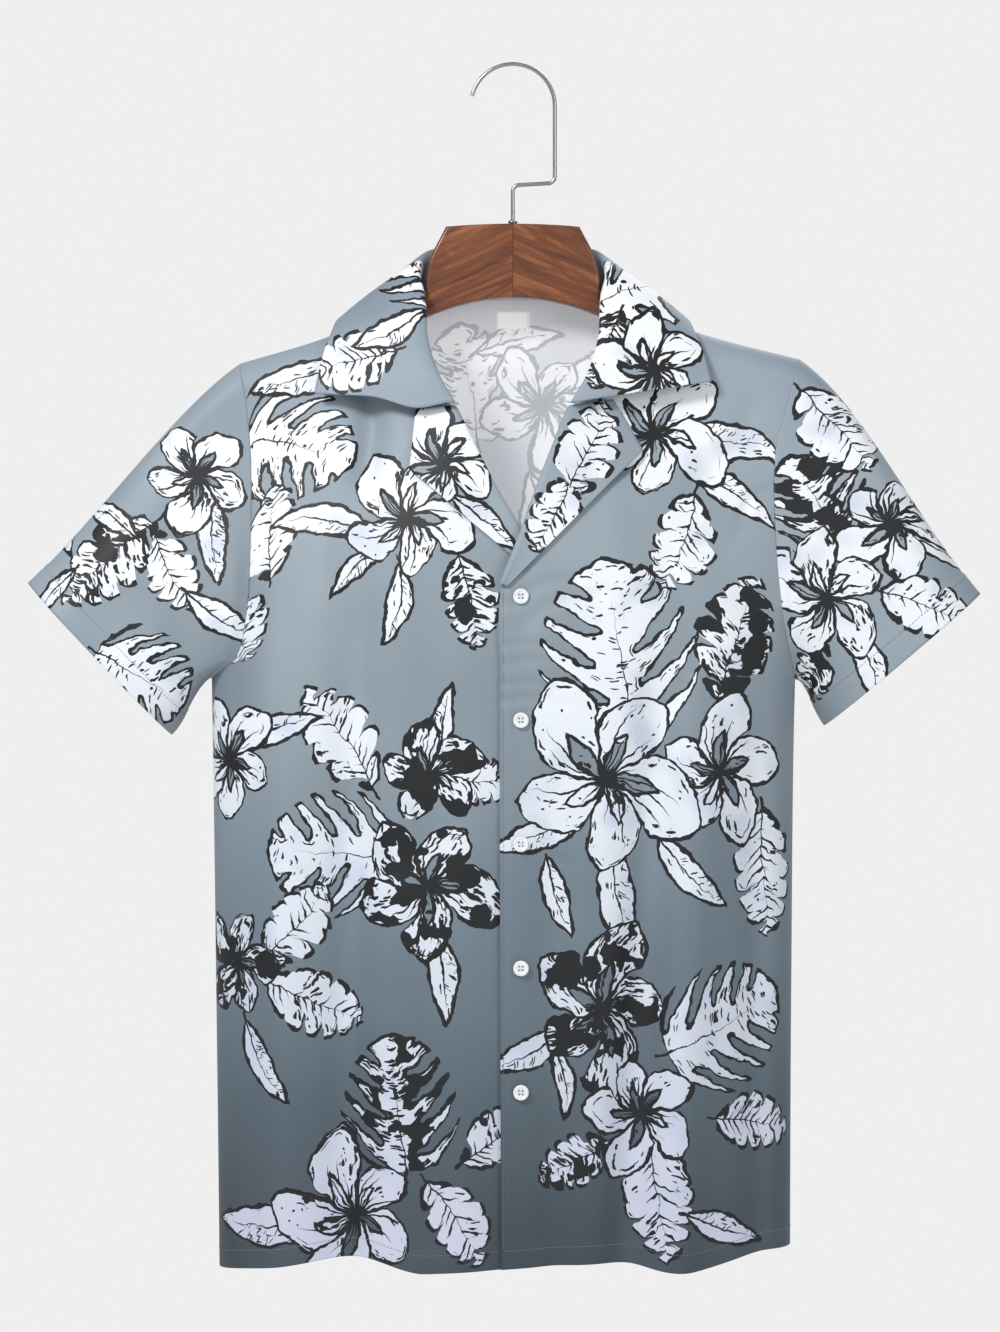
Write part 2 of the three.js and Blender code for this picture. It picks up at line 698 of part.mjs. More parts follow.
function collarSection(place, samples) {
  const at = (rows) => new THREE.Vector3(...["x", "y", "z"].map((c) => along(rows, "place", place, c)));
  const toFront = softStep(Math.abs(place), collarShoulder, collarEnd);
  const side = Math.sign(place);
  const seam = at(seamStations);
  const fold = at(foldStations);
  const edge = at(edgeStations);
  edge.z += side * COLLAR_TILT * toFront;
  const inward = seam.clone().sub(fold).normalize();
  const outward = edge.clone().sub(fold).normalize();
  const opening = inward.add(outward).normalize();
  const apart = edge.clone().sub(seam);
  apart.addScaledVector(opening, -apart.dot(opening)).normalize();
  const roll = Math.min(COLLAR_ROLL, fold.distanceTo(seam) * 0.45);
  const near = (sign) =>
    fold.clone().addScaledVector(opening, roll * 0.8).addScaledVector(apart, sign * roll);
  const falling = (share, lift) => {
    const point = fold.clone().lerp(edge, share).addScaledVector(apart, lift);
    const dip = side < 0 ? GORGE_DIP * toFront : 0;
    point.z -= dip * Math.sin(Math.PI * Math.min(1, share * 1.9)) ** 2;
    return point;
  };
  const fall = collarFall.map((row) =>
    falling(row.share, lerp(row.liftBack, row.liftFront, toFront)),
  );
  const points = [seam, seam.clone().lerp(near(-1), 0.5), near(-1), fold, near(1), ...fall, edge];
  const curve = new THREE.CatmullRomCurve3(points, false, "centripetal");
  return samples.map((share) => curve.getPoint(share));
}

function collarGrid() {
  const steps = 36;
  const samples = [0, 0.15, 0.27, 0.34, 0.4, 0.46, 0.54, 0.7, 0.86, 1];
  const grid = [];
  for (let i = 0; i <= steps; i += 1)
    grid.push(collarSection(lerp(-collarEnd, collarEnd, i / steps), samples));
  return grid;
}

const collar = collarGrid();
addPiece("collar", wall(collar, offsetGrid(collar, -CLOTH)), "cloth");

// Lapels: the turned-back facing of each front, from the roll line to the free edges.
// Rows run from the gorge down to the break, columns from inside the neck over the roll outward.
const lapelColumns = [0, 0.25, 0.5, 0.75, 1];

function lapel(side, neck, corners) {
  const breakZ = neck[0].z + 4;
  const breakX = along(neck, "z", breakZ, "x") + side * 3;
  const upperSteps = 4;
  const lowerSteps = 8;
  const total = upperSteps + lowerSteps;
  const grid = [];
  for (let i = 0; i <= total; i += 1) {
    const rollShare = (i / total) ** 0.9;
    const rollZ = lerp(GORGE_Z, breakZ, rollShare);
    const rollX = along(neck, "z", rollZ, "x");
    const toTip = Math.min(1, i / upperSteps);
    const toBreak = Math.max(0, (i - upperSteps) / lowerSteps);
    const freeX = lerp(lerp(corners.notchX, corners.tipX, toTip), breakX, toBreak);
    const freeZ = lerp(lerp(corners.notchZ - 0.8, corners.tipZ, toTip), breakZ - 1, toBreak);
    const row = [];
    const spare = 1 - 0.6 * toBreak; // the lapel lies flatter towards the break
    const lift = (x, share) => {
      const under = side < 0 ? lapStep(x, rollZ) : 0;
      const clear = side < 0 ? 1 - softStep(x, -40, -14) : 1; // flat where the left front covers it
      const roll = LAPEL_ROLL * (1 - share) ** 2;
      return LAPEL_CLEARANCE + CLOTH - under + clear * spare * (roll + LAPEL_SPRING * share ** 2);
    };
    const innerLip = raised(rollX, rollZ, lift(rollX, 0) - 2 * CLOTH - LAPEL_SETBACK);
    innerLip.x -= side * LAPEL_TUCK;
    const lip = raised(rollX, rollZ, lift(rollX, 0) - CLOTH);
    lip.x -= side * (LAPEL_LIP + CLOTH);
    row.push(innerLip, lip);
    for (const share of lapelColumns) {
      const x = lerp(rollX - side * LAPEL_SETBACK, freeX, share);
      const z = lerp(rollZ, freeZ, share);
      row.push(raised(x, z, lift(x, share)));
    }
    grid.push(row);
  }
  return grid;
}

const lapelGridLeft = lapel(1, neckLeft, lapelLeft);
const lapelGridRight = lapel(-1, neckRight, lapelRight);
addPiece("lapel_left", wall(lapelGridLeft, offsetGrid(lapelGridLeft, -CLOTH)), "cloth");
addPiece("lapel_right", wall(lapelGridRight, offsetGrid(lapelGridRight, CLOTH)), "cloth");

// Buttons with four holes, flat against the left front
function buttonGeometry() {
  const rim = BUTTON_RADIUS - BUTTON_BEVEL;
  const disc = new THREE.Shape().absarc(0, 0, rim, 0, 2 * Math.PI);
  for (let i = 0; i < BUTTON_HOLES; i += 1) {
    const angle = (2 * Math.PI * (i + 0.5)) / BUTTON_HOLES;
    const centre = new THREE.Vector2(Math.cos(angle), Math.sin(angle)).multiplyScalar(BUTTON_HOLE_OFFSET);
    const corners = [];
    for (let k = BUTTON_HOLE_SIDES; k > 0; k -= 1) {
      const turn = (2 * Math.PI * k) / BUTTON_HOLE_SIDES;
      const spoke = new THREE.Vector2(Math.cos(turn), Math.sin(turn));
      corners.push(centre.clone().addScaledVector(spoke, BUTTON_HOLE_RADIUS));
    }
    disc.holes.push(new THREE.Path(corners));
  }
  const geometry = new THREE.ExtrudeGeometry(disc, {
    depth: BUTTON_THICKNESS - 2 * BUTTON_BEVEL,
    bevelThickness: BUTTON_BEVEL,
    bevelSize: BUTTON_BEVEL * 0.6,
    bevelSegments: 1,
    curveSegments: 8,
  });
  geometry.translate(0, 0, BUTTON_BEVEL);
  return geometry.rotateX(Math.PI / 2);
}

for (let i = 0; i < BUTTON_COUNT; i += 1) {
  const z = TOP_BUTTON_Z - i * BUTTON_SPACING;
  const button = addPiece(`button_${i + 1}`, buttonGeometry(), "button");
  const reach = [-BUTTON_RADIUS, 0, BUTTON_RADIUS];
  const nearest = Math.min(...reach.map((dx) => frontAt(BUTTON_X + dx, z).y));
  button.position.set(BUTTON_X, nearest - BUTTON_CLEARANCE, z);
}

// Label: a small blank patch that lies on the inside of the back, below the neck seam
function labelGrid(height) {
  const grid = [];
  for (let r = 0; r <= 2; r += 1) {
    const row = [];
    for (let c = 0; c <= 4; c += 1) {
      const x = LABEL_WIDTH * (c / 4 - 0.5);
      const z = LABEL_TOP_Z - (LABEL_HEIGHT * r) / 2;
      const point = bodyPoint(bodyPlace(x, z), 1, CLOTH);
      row.push(point.setY(point.y - height));
    }
    grid.push(row);
  }
  return grid;
}
addPiece(
  "neck_label",
  wall(labelGrid(LABEL_CLEARANCE), labelGrid(LABEL_CLEARANCE + LABEL_THICKNESS)),
  "label",
);

// Hanger: a contoured wooden body whose arms carry the shoulders, a ferrule and a wire hook
// One half of the wood's outline from its top corner to its underside. side is 1 for +X. A step
// with a bend is a curve that is drawn towards the bend.
function woodHalf(side) {
  const inset = WOOD_BEVEL;
  const armTop = (x) => shoulderLine(side * x) - ARM_CLEARANCE - inset;
  const cornerX = ARM_END_X - ARM_TOP_CORNER;
  const endTop = armTop(cornerX);
  const endMiddle = endTop - ARM_END_HEIGHT / 2;
  const endUnder = endTop - ARM_END_HEIGHT;
  const blockX = BLOCK_HALF - inset;
  const steps = [{ x: BLOCK_TOP_HALF - inset, z: BLOCK_TOP_CORNER_Z - inset }];
  steps.push({ x: BLOCK_SHOULDER_HALF - inset, z: BLOCK_SHOULDER_Z });
  steps.push({ x: blockX, z: BLOCK_SIDE_END_Z, bend: { x: blockX, z: BLOCK_CURVE_Z } });
  const armSteps = 9;
  for (let i = 0; i <= armSteps; i += 1) {
    const x = lerp(ARM_START_X, cornerX, i / armSteps);
    steps.push({ x, z: armTop(x) });
  }
  steps.push({ x: ARM_END_X, z: endMiddle, bend: { x: ARM_END_X, z: endTop - 3 } });
  steps.push({ x: ARM_END_X - ARM_UNDER_CORNER, z: endUnder, bend: { x: ARM_END_X, z: endUnder } });
  steps.push({ x: UNDERSIDE_TURN_X, z: armTop(UNDERSIDE_TURN_X) - ARM_HEIGHT });
  return steps;
}

// The same half drawn with points only, its curves cut into short straight steps
function outlinePoints(side) {
  const cuts = 7;
  const points = [];
  for (const step of woodHalf(side)) {
    if (step.bend) {
      const from = points[points.length - 1];
      const curve = new THREE.QuadraticBezierCurve(
        from,
        new THREE.Vector2(side * step.bend.x, step.bend.z),
        new THREE.Vector2(side * step.x, step.z),
      );
      points.push(...curve.getPoints(cuts).slice(1));
    } else points.push(new THREE.Vector2(side * step.x, step.z));
  }
  return points;
}

function woodGeometry() {
  const right = outlinePoints(1);
  const left = outlinePoints(-1);
  const outline = new THREE.Shape();
  outline.moveTo(left[0].x, left[0].y);
  outline.quadraticCurveTo(0, WOOD_TOP_Z, right[0].x, right[0].y);
  for (const point of right.slice(1)) outline.lineTo(point.x, point.y);
  const underLeft = left[left.length - 1];
  outline.quadraticCurveTo(0, UNDERSIDE_CREST_Z, underLeft.x, underLeft.y);
  for (const point of left.slice(1, -1).reverse()) outline.lineTo(point.x, point.y);
  outline.closePath();
  const depth = WOOD_THICKNESS - 2 * WOOD_BEVEL;
  const geometry = new THREE.ExtrudeGeometry(outline, {
    depth,
    bevelThickness: WOOD_BEVEL,
    bevelSize: WOOD_BEVEL,
    bevelSegments: 1,
    curveSegments: 14,
  });
  geometry.translate(0, 0, -depth / 2);
  return geometry.rotateX(Math.PI / 2);
}
addPiece("hanger_wood", woodGeometry(), "wood");

// Ferrule: a small turned collar where the wire enters the wood
const ferruleBore = WIRE_RADIUS + SEAM_GAP;
const ferruleProfile = [
  { radius: ferruleBore, height: 0 },
  { radius: FERRULE_RADIUS, height: 0 },
  { radius: FERRULE_RADIUS, height: FERRULE_HEIGHT - FERRULE_CHAMFER },
  { radius: FERRULE_RADIUS - FERRULE_CHAMFER, height: FERRULE_HEIGHT },
  { radius: ferruleBore, height: FERRULE_HEIGHT },
  { radius: ferruleBore, height: 0 },
].map((corner) => new THREE.Vector2(corner.radius, corner.height));
const ferrule = addPiece(
  "hanger_ferrule",
  new THREE.LatheGeometry(ferruleProfile, 20).rotateX(Math.PI / 2),
  "steel",
);
ferrule.position.set(0, 0, STEM_END_Z);

// Hook: round wire from the tip over the arc, down, along the jog and into the wood
const hookCentreZ = WIRE_RADIUS - HOOK_RADIUS;

function arcPoints(centreX, centreZ, radius, from, to, steps) {
  const points = [];
  for (let i = 0; i <= steps; i += 1) {
    const angle = THREE.MathUtils.degToRad(lerp(from, to, i / steps));
    const x = centreX + radius * Math.cos(angle);
    points.push(new THREE.Vector3(x, 0, centreZ + radius * Math.sin(angle)));
  }
  return points;
}

function hookGeometry() {
  const lower = JOG_BEND + JOG_DROP / 2;
  const points = [
    ...arcPoints(0, hookCentreZ, HOOK_RADIUS, HOOK_TIP_ANGLE, 0, 22),
    new THREE.Vector3(HOOK_RADIUS, 0, HOOK_STRAIGHT_Z),
    ...arcPoints(HOOK_RADIUS - JOG_BEND, JOG_Z + lower, JOG_BEND, 0, -86, 5),
    ...arcPoints(JOG_BEND, JOG_Z - lower, JOG_BEND, 94, 180, 5),
    new THREE.Vector3(0, 0, STEM_END_Z),
  ];
  return new THREE.ExtrudeGeometry(new THREE.Shape().absarc(0, 0, WIRE_RADIUS, 0, 2 * Math.PI), {
    steps: 58,
    curveSegments: 4,
    extrudePath: new THREE.CatmullRomCurve3(points, false, "centripetal"),
    bevelEnabled: false,
  });
}
addPiece("hanger_hook", hookGeometry(), "steel");

export default shirt;
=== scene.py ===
import math

import bmesh
import bpy
import numpy as np
from mathutils import Matrix, Vector


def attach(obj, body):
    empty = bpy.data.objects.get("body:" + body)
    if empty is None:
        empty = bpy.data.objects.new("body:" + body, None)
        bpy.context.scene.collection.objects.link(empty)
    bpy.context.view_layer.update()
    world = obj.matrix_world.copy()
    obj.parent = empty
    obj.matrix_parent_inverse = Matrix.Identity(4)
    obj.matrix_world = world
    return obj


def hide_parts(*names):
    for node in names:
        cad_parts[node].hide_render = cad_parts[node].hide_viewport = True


# A short-sleeved camp-collar shirt in printed rayon, buttoned, on a contoured wooden hanger.
# The shirt's front faces -Y and +X is the wearer's left. Sizes are in millimetres unless a
# comment says metres, and become metres where a mesh is made.
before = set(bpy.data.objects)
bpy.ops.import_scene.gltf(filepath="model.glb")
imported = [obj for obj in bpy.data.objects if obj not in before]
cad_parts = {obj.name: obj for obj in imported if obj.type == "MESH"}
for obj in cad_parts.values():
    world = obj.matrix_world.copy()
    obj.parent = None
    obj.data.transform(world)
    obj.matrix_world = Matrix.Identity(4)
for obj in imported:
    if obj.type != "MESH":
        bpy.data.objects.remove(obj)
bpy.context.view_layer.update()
MM = 0.001


def add(tree, kind, inputs=(), **settings):
    """Adds a node with its settings. Each input is a value, or the socket to link it to."""
    node = tree.nodes.new(kind)
    for name, value in settings.items():
        setattr(node, name, value)
    pairs = inputs.items() if isinstance(inputs, dict) else enumerate(inputs)
    for key, value in pairs:
        if isinstance(value, bpy.types.NodeSocket):
            tree.links.new(value, node.inputs[key])
        elif value is not None:
            node.inputs[key].default_value = value
    return node


def colour(hex_value):
    """The linear colour of an sRGB hex value such as 6B3A22."""
    channels = [int(hex_value[i:i + 2], 16) / 255 for i in (0, 2, 4)]
    linear = [c / 12.92 if c <= 0.04045 else ((c + 0.055) / 1.055) ** 2.4 for c in channels]
    return (*linear, 1.0)


def empty_finish(name):
    """A material with nothing in its node tree yet, and that tree."""
    material = bpy.data.materials.new(name)
    material.use_nodes = True
    material.node_tree.nodes.clear()
    return material, material.node_tree


# Studio: a plain pale surround, a floor far below the hanging shirt and soft light from the
# front. The camera is level and takes in 750 by 999 mm at the shirt's middle. All in metres.
camera_place = Vector((-0.0096, -3.2, -0.45))
framed_height = 0.999
sensor_size = 36.0  # millimetres
camera_data = bpy.data.cameras.new("camera")
camera_data.sensor_fit = "AUTO"
camera_data.sensor_width = sensor_size
camera_data.lens = sensor_size * -camera_place.y / framed_height
camera = bpy.data.objects.new("camera", camera_data)
camera.location = camera_place
camera.rotation_euler = (math.radians(90), 0, 0)
bpy.context.collection.objects.link(camera)
bpy.context.scene.camera = camera
bpy.context.scene.view_settings.view_transform = "Standard"

world = bpy.data.worlds.new("studio")
world.use_nodes = True
sky = world.node_tree
sky.nodes.clear()
shown = add(sky, "ShaderNodeBackground", [colour("EFEFEF"), 1.0])
glow = add(sky, "ShaderNodeBackground", [colour("F4F6F8"), 0.43])
path = add(sky, "ShaderNodeLightPath")
both = add(
    sky, "ShaderNodeMixShader", [path.outputs["Is Camera Ray"], glow.outputs[0], shown.outputs[0]]
)
add(sky, "ShaderNodeOutputWorld", [both.outputs[0]])
bpy.context.scene.world = world

for name, place, aim, size, power in [
    ("key", (-1.4, -2.1, 1.35), (0, 0, -0.45), 0.7, 56),
    ("fill", (1.9, -2.3, 0.3), (0, 0, -0.4), 1.4, 17),
    ("rim", (0.8, 1.8, 1.2), (0, 0, -0.3), 1.2, 16),
]:
    lamp_data = bpy.data.lights.new(name, "AREA")
    lamp_data.size = size
    lamp_data.energy = power
    lamp = bpy.data.objects.new(name, lamp_data)
    lamp.location = place
    lamp.rotation_euler = (Vector(aim) - Vector(place)).to_track_quat("-Z", "Y").to_euler()
    bpy.context.collection.objects.link(lamp)

floor_material, floor_tree = empty_finish("painted_floor")
floor_shader = add(floor_tree, "ShaderNodeBsdfPrincipled", {
    "Base Color": colour("EDEDED"), "Roughness": 0.9,
    "Emission Color": colour("EDEDED"), "Emission Strength": 0.22,
})
add(floor_tree, "ShaderNodeOutputMaterial", [floor_shader.outputs[0]])
floor_mesh = bpy.data.meshes.new("floor")
floor_bm = bmesh.new()
bmesh.ops.create_grid(
    floor_bm, x_segments=1, y_segments=1, size=4, matrix=Matrix.Translation((0, 0, -1.7))
)
floor_bm.to_mesh(floor_mesh)
floor_bm.free()
floor = bpy.data.objects.new("floor", floor_mesh)
floor.data.materials.append(floor_material)
bpy.context.collection.objects.link(floor)


# Body of the shirt: two fronts and a back in light rayon, sewn at the sides and shoulders and
# hanging flat and boxy from the hanger's arms. Its surface is worked out from the half widths
# and depths at a few heights, the shoulder line, and the soft folds that hang from it.
ARMPIT_Z = -458
SHOULDER_ROUND = 22  # radius of the cloth over the hanger's arm
SHOULDER_BLEND = 215  # drop over which the round top opens into the body's section
SQUARENESS = 0.8  # exponent of the body's section, 1 for an ellipse
SEAM_GAP = 0.0  # the panels meet, sewn edge to edge
HEM_DEPTH = 16
HEM_RELIEF = 0.7  # how far the turned hem stands out
HEM_STITCH_INSET = 2.4  # of its stitching from the hem's top
CLOTH_THICKNESS = 0.8
PLACKET_EDGE_X = -9.6
UNDERLAP_EDGE_X = 22

# Height, right and left half widths, front and back depths
body_rows = [
    (-910, 219.5, 207.5, 84, 82),
    (-700, 222, 208.5, 84, 82),
    (-458, 225.5, 211.5, 82, 80),
    (-330, 229, 219, 77, 74),
    (-130, 231, 227, 70, 66),
]
# Across, and height of the shoulder line
shoulder_rows = [
    (-260, -241), (-205, -223.5), (-145, -205.5), (-100, -187), (-72, -171.5), (0, -140),
    (72, -171.5), (100, -186), (150, -203.5), (215, -220), (270, -234),
]
# Height and place across, from the armpit up to the shoulder point
armhole_right = [
    (-459, -225), (-444.8, -205.5), (-414.5, -197.6), (-373.8, -194.5), (-302.3, -194.4),
    (-252.8, -198.6), (-223.6, -204.6),
]
armhole_left = [
    (-460, 210.9), (-441, 206), (-414.5, 200.6), (-363.5, 195.4), (-292, 195.2),
    (-254.3, 204.7), (-219.8, 214.7),
]
# Height and place across, from the break of the lapel up the roll line and the neck seam
neck_right = [
    (-384, 18), (-355, 6.5), (-318, -14.7), (-285, -31.6), (-257, -45.5), (-236, -62),
    (-211, -70.6), (-184, -73.4), (-171.5, -74.4),
]
neck_left = [
    (-394.5, -9), (-353.6, 7.2), (-320.7, 18.9), (-291.5, 30), (-257, 44.5), (-236, 62),
    (-211, 70.6), (-184, 73.4), (-171.5, 74.4),
]
# Across, and height of the bottom edge
hem_front = [
    (-222, -899), (-180, -893), (-130, -885.5), (-110, -885), (-82, -893.5), (-66, -895.5),
    (-10, -891), (54, -887.6), (85, -888), (115, -894), (134, -894.5), (185, -883), (210, -882),
]
hem_back = [(-222, -899), (-120, -890), (-40, -896), (40, -889), (130, -895), (210, -882)]
# Hanging folds: place across, drift on the way down, width, depth (a trough is negative), and
# the heights where each starts and ends
folds_front = [
    (-112, -14, 19, -13, -250, -960),
    (-30, 0, 20, 6, -380, -960),
    (-170, -4, 20, 8, -400, -960),
    (116, -40, 18, -12, -340, -960),
    (144, -28, 20, 8, -360, -960),
    (180, 2, 14, -7, -400, -960),
    (28, 2, 14, -6, -470, -960),
    (60, 6, 22, 4, -560, -960),
]
folds_back = [
    (-140, -10, 26, -8, -330, -960),
    (-92, -4, 24, 6, -480, -960),
    (-28, 8, 30, -6, -400, -960),
    (34, 6, 28, 5, -520, -960),
    (96, -6, 26, -8, -350, -960),
    (150, 4, 24, 5, -450, -960),
]
# Creases: the two ends (across, height), width and depth
creases_front = [
    (-124, -222, -108, -300, 11.0, -9.0),
    (-84, -380, -100, -470, 16.0, -2.0),
    (6, -372, 92, -300, 6.0, -3.2),
    (112, -380, 124, -470, 11.0, -2.6),
    (150, -400, 168, -520, 14.0, 2.0),
    (176, -262, 150, -300, 10.0, -2.4),
    (-6, -436, 24, -438, 3.2, -1.5),
    (-4, -450, 34, -448, 3.6, -1.7),
    (-6, -464, 26, -466, 3.0, -1.3),
    (-5, -476, 36, -479, 3.4, -1.6),
    (0, -404, 44, -388, 5.0, -2.0),
    (8, -420, 60, -398, 6.0, -1.9),
    (170, -338, 192, -318, 5.0, -2.4),
    (166, -352, 190, -344, 5.0, -2.2),
    (-190, -420, -176, -372, 7.0, -1.8),
    (-186, -300, -170, -340, 7.0, -1.4),
    (-40, -560, -120, -600, 16.0, -1.6),
    (60, -620, 130, -590, 18.0, -1.6),
    (-150, -720, -60, -690, 20.0, -1.4),
    (30, -800, 110, -770, 18.0, -1.5),
    (12, -508, 40, -516, 5.0, -0.8),
    (12, -600, 44, -594, 5.0, -0.7),
]
creases_back = [
    (-186, -430, -150, -372, 8.0, -2.0),
    (180, -424, 150, -366, 8.0, -2.0),
    (-120, -560, -30, -610, 20.0, -1.8),
    (40, -660, 130, -620, 20.0, -1.8),
    (-60, -790, 40, -760, 20.0, -1.6),
    (-60, -232, 60, -236, 12.0, -1.0),
]


def soft_step(value, start, end):
    share = np.clip((value - start) / (end - start), 0, 1)
    return share * share * (3 - 2 * share)


def along(rows, at, column=1):
    """Smooth value of a table's column at a key, which is the table's first column."""
    table = np.array(sorted(rows), dtype=float)
    keys = table[:, 0]
    values = table[:, column]
    slopes = np.gradient(values, keys, edge_order=1)
    slopes[1:-1] = (values[2:] - values[:-2]) / (keys[2:] - keys[:-2])
    at = np.clip(at, keys[0], keys[-1])
    i = np.clip(np.searchsorted(keys, at, side="right") - 1, 0, len(keys) - 2)
    span = keys[i + 1] - keys[i]
    s = (at - keys[i]) / span
    start = (2 * s**3 - 3 * s**2 + 1) * values[i] + (s**3 - 2 * s**2 + s) * span * slopes[i]
    end = (3 * s**2 - 2 * s**3) * values[i + 1] + (s**3 - s**2) * span * slopes[i + 1]
    return start + end


def unit(vectors):
    return vectors / np.linalg.norm(vectors, axis=-1, keepdims=True)


def shoulder_line(x):
    return along(shoulder_rows, x)


def fold_depth(folds, creases, x, z, open_share):
    """How far the cloth stands out at x and z, from its hanging folds and its creases."""
    total = np.zeros(np.broadcast(x, z).shape)
    for place, drift, width, depth, top, bottom in folds:
        down = np.clip((top - z) / (top - bottom), 0, 1)
        offset = (x - place - drift * down) / width
        total += depth * soft_step(down, 0, 0.35) * np.exp(-offset**2)
    total *= open_share
    for x0, z0, x1, z1, width, depth in creases:
        length = math.hypot(x1 - x0, z1 - z0)
        run = ((x - x0) * (x1 - x0) + (z - z0) * (z1 - z0)) / length
        side = ((z - z0) * (x1 - x0) - (x - x0) * (z1 - z0)) / length
        beyond = np.maximum(0, np.maximum(-run, run - length)) / (width * 1.6)
        bow = 0.12 * length * np.sin(np.pi * np.clip(run / length, 0, 1))
        total += depth * np.exp(-((side - bow) / width) ** 2 - beyond**2)
    return total


def body_place(x, z):
    """Where a point of the body lies: across from 0 at the right side seam to 1 at the left
    one, and the length down the cloth from the shoulder line."""
    right = along(body_rows, z, 1)
    left = along(body_rows, z, 2)
    share = np.clip((x - (left - right) / 2) / ((left + right) / 2), -1, 1)
    turned = np.sign(share) * np.abs(share) ** (1 / SQUARENESS)
    drop = np.maximum(0, shoulder_line(x) - z)
    round_part = SHOULDER_ROUND * np.arccos(1 - np.minimum(drop, SHOULDER_ROUND) / SHOULDER_ROUND)
    flat_part = np.maximum(0, drop - SHOULDER_ROUND)
    return np.arccos(-turned) / np.pi, round_part + flat_part


def body_point(across, reach, face, inset=0.0, creased=True):
    """The body's surface, moved in by inset. face is -1 for the front and 1 for the back."""
    angle = np.pi * across
    sideways = -np.cos(angle)
    outward = np.maximum(0, np.sin(angle)) ** SQUARENESS
    spread = np.sign(sideways) * np.abs(sideways) ** SQUARENESS
    quarter = SHOULDER_ROUND * math.pi / 2
    turn = np.minimum(reach / SHOULDER_ROUND, math.pi / 2)
    straight = np.maximum(0, reach - quarter)
    drop = SHOULDER_ROUND * (1 - np.cos(turn)) + straight
    inside_drop = inset + (SHOULDER_ROUND - inset) * (1 - np.cos(turn)) + straight
    top = (SHOULDER_ROUND - inset) * np.sin(turn)
    z = np.full(np.shape(drop), float(ARMPIT_Z))
    for _ in range(4):
        right = along(body_rows, z, 1) - inset
        left = along(body_rows, z, 2) - inset
        x = (left - right) / 2 + ((left + right) / 2) * spread
        z = shoulder_line(x) - drop
    depth = along(body_rows, z, 3 if face < 0 else 4) - inset
    opened = soft_step(drop, 0, SHOULDER_BLEND)
    folds = folds_front if face < 0 else folds_back
    creases = (creases_front if face < 0 else creases_back) if creased else []
    fold = fold_depth(folds, creases, x, z, opened) * soft_step(outward, 0.25, 0.8)
    y = top + (depth * outward - top) * opened + fold * soft_step(drop, 0, 40) + SEAM_GAP / 2
    return np.stack([x, face * y, shoulder_line(x) - inside_drop], axis=-1)


def front_at(x, z, inset=0.0):
    return body_point(*body_place(x, z), -1, inset)


def edge_points(rows, share):
    """Across and height of the points that lie at these shares of an edge's length."""
    keys = sorted(row[0] for row in rows)
    z = keys[0] + (keys[-1] - keys[0]) * np.linspace(0, 1, 301) ** 1.5
    x = along(rows, z)
    points = body_point(*body_place(x, z), -1, 0.0, creased=False)
    steps = np.linalg.norm(np.diff(points, axis=0), axis=1)
    length = np.concatenate([[0], np.cumsum(steps)])
    wanted = np.asarray(share) * length[-1]
    return np.interp(wanted, length, x), np.interp(wanted, length, z)


LOWER_ROWS = 170
UPPER_ROWS = 110
HEM_ROWS = 12


def panel_places(columns, hem, side_x, inner_x, outer_edge, inner_edge):
    """Grids of across, reach and height above the hem for a panel, from the hem up."""
    u = np.linspace(0, 1, columns + 1)[None, :]
    low = ARMPIT_Z
    start = body_place(side_x, low)[0]
    end = body_place(inner_x, low)[0]
    across = start + (end - start) * u
    x = body_point(across, np.full(across.shape, 300.0), -1, 0.0, creased=False)[..., 0]
    bottom = along(hem, x)
    hem_share = np.linspace(0, 1, HEM_ROWS + 1)[:-1, None]
    body_share = np.linspace(0, 1, LOWER_ROWS + 1)[:, None]
    hem_z = bottom + HEM_DEPTH * hem_share
    body_z = bottom + HEM_DEPTH + (low - bottom - HEM_DEPTH) * body_share
    lower_z = np.concatenate([hem_z, body_z])
    lower_across = np.repeat(across, len(lower_z), axis=0)
    lower_reach = body_place(np.repeat(x, len(lower_z), axis=0), lower_z)[1]
    above_hem = lower_z - bottom

    v = (np.arange(1, UPPER_ROWS + 1) / UPPER_ROWS)[:, None]
    outer_x, outer_z = edge_points(outer_edge, v)
    inner_x, inner_z = edge_points(inner_edge, v)
    outer_z = outer_z + (low + 0.4 - outer_z[0]) * (1 - v) ** 6
    inner_z = inner_z + (low + 0.4 - inner_z[0]) * (1 - v) ** 6
    outer_across, outer_reach = body_place(outer_x, outer_z)
    inner_across, inner_reach = body_place(inner_x, inner_z)
    upper_across = outer_across + (inner_across - outer_across) * u
    level = outer_z + (inner_z - outer_z) * u
    level_reach = np.maximum(0, shoulder_line(0) - level)
    level_x = body_point(upper_across, level_reach, -1, 0.0, creased=False)[..., 0]
    straight = body_place(level_x, level)[1]
    slanted = outer_reach + (inner_reach - outer_reach) * u
    blend = soft_step(v, 0.5, 1)
    upper_reach = (straight + (slanted - straight) * blend) * (v < 1)
    far = np.full(upper_reach.shape, 1000.0)
    return (
        np.concatenate([lower_across, upper_across]),
        np.concatenate([lower_reach, upper_reach]),
        np.concatenate([above_hem, far]),
    )


def hem_relief(above_hem):
    """The turned hem stands out, and its stitching pulls a shallow groove near its top."""
    raised = HEM_RELIEF * (1 - soft_step(above_hem, HEM_DEPTH - 1.2, HEM_DEPTH + 0.6))
    groove = 0.35 * np.exp(-(((above_hem - HEM_DEPTH + HEM_STITCH_INSET) / 1.1) ** 2))
    return raised - groove


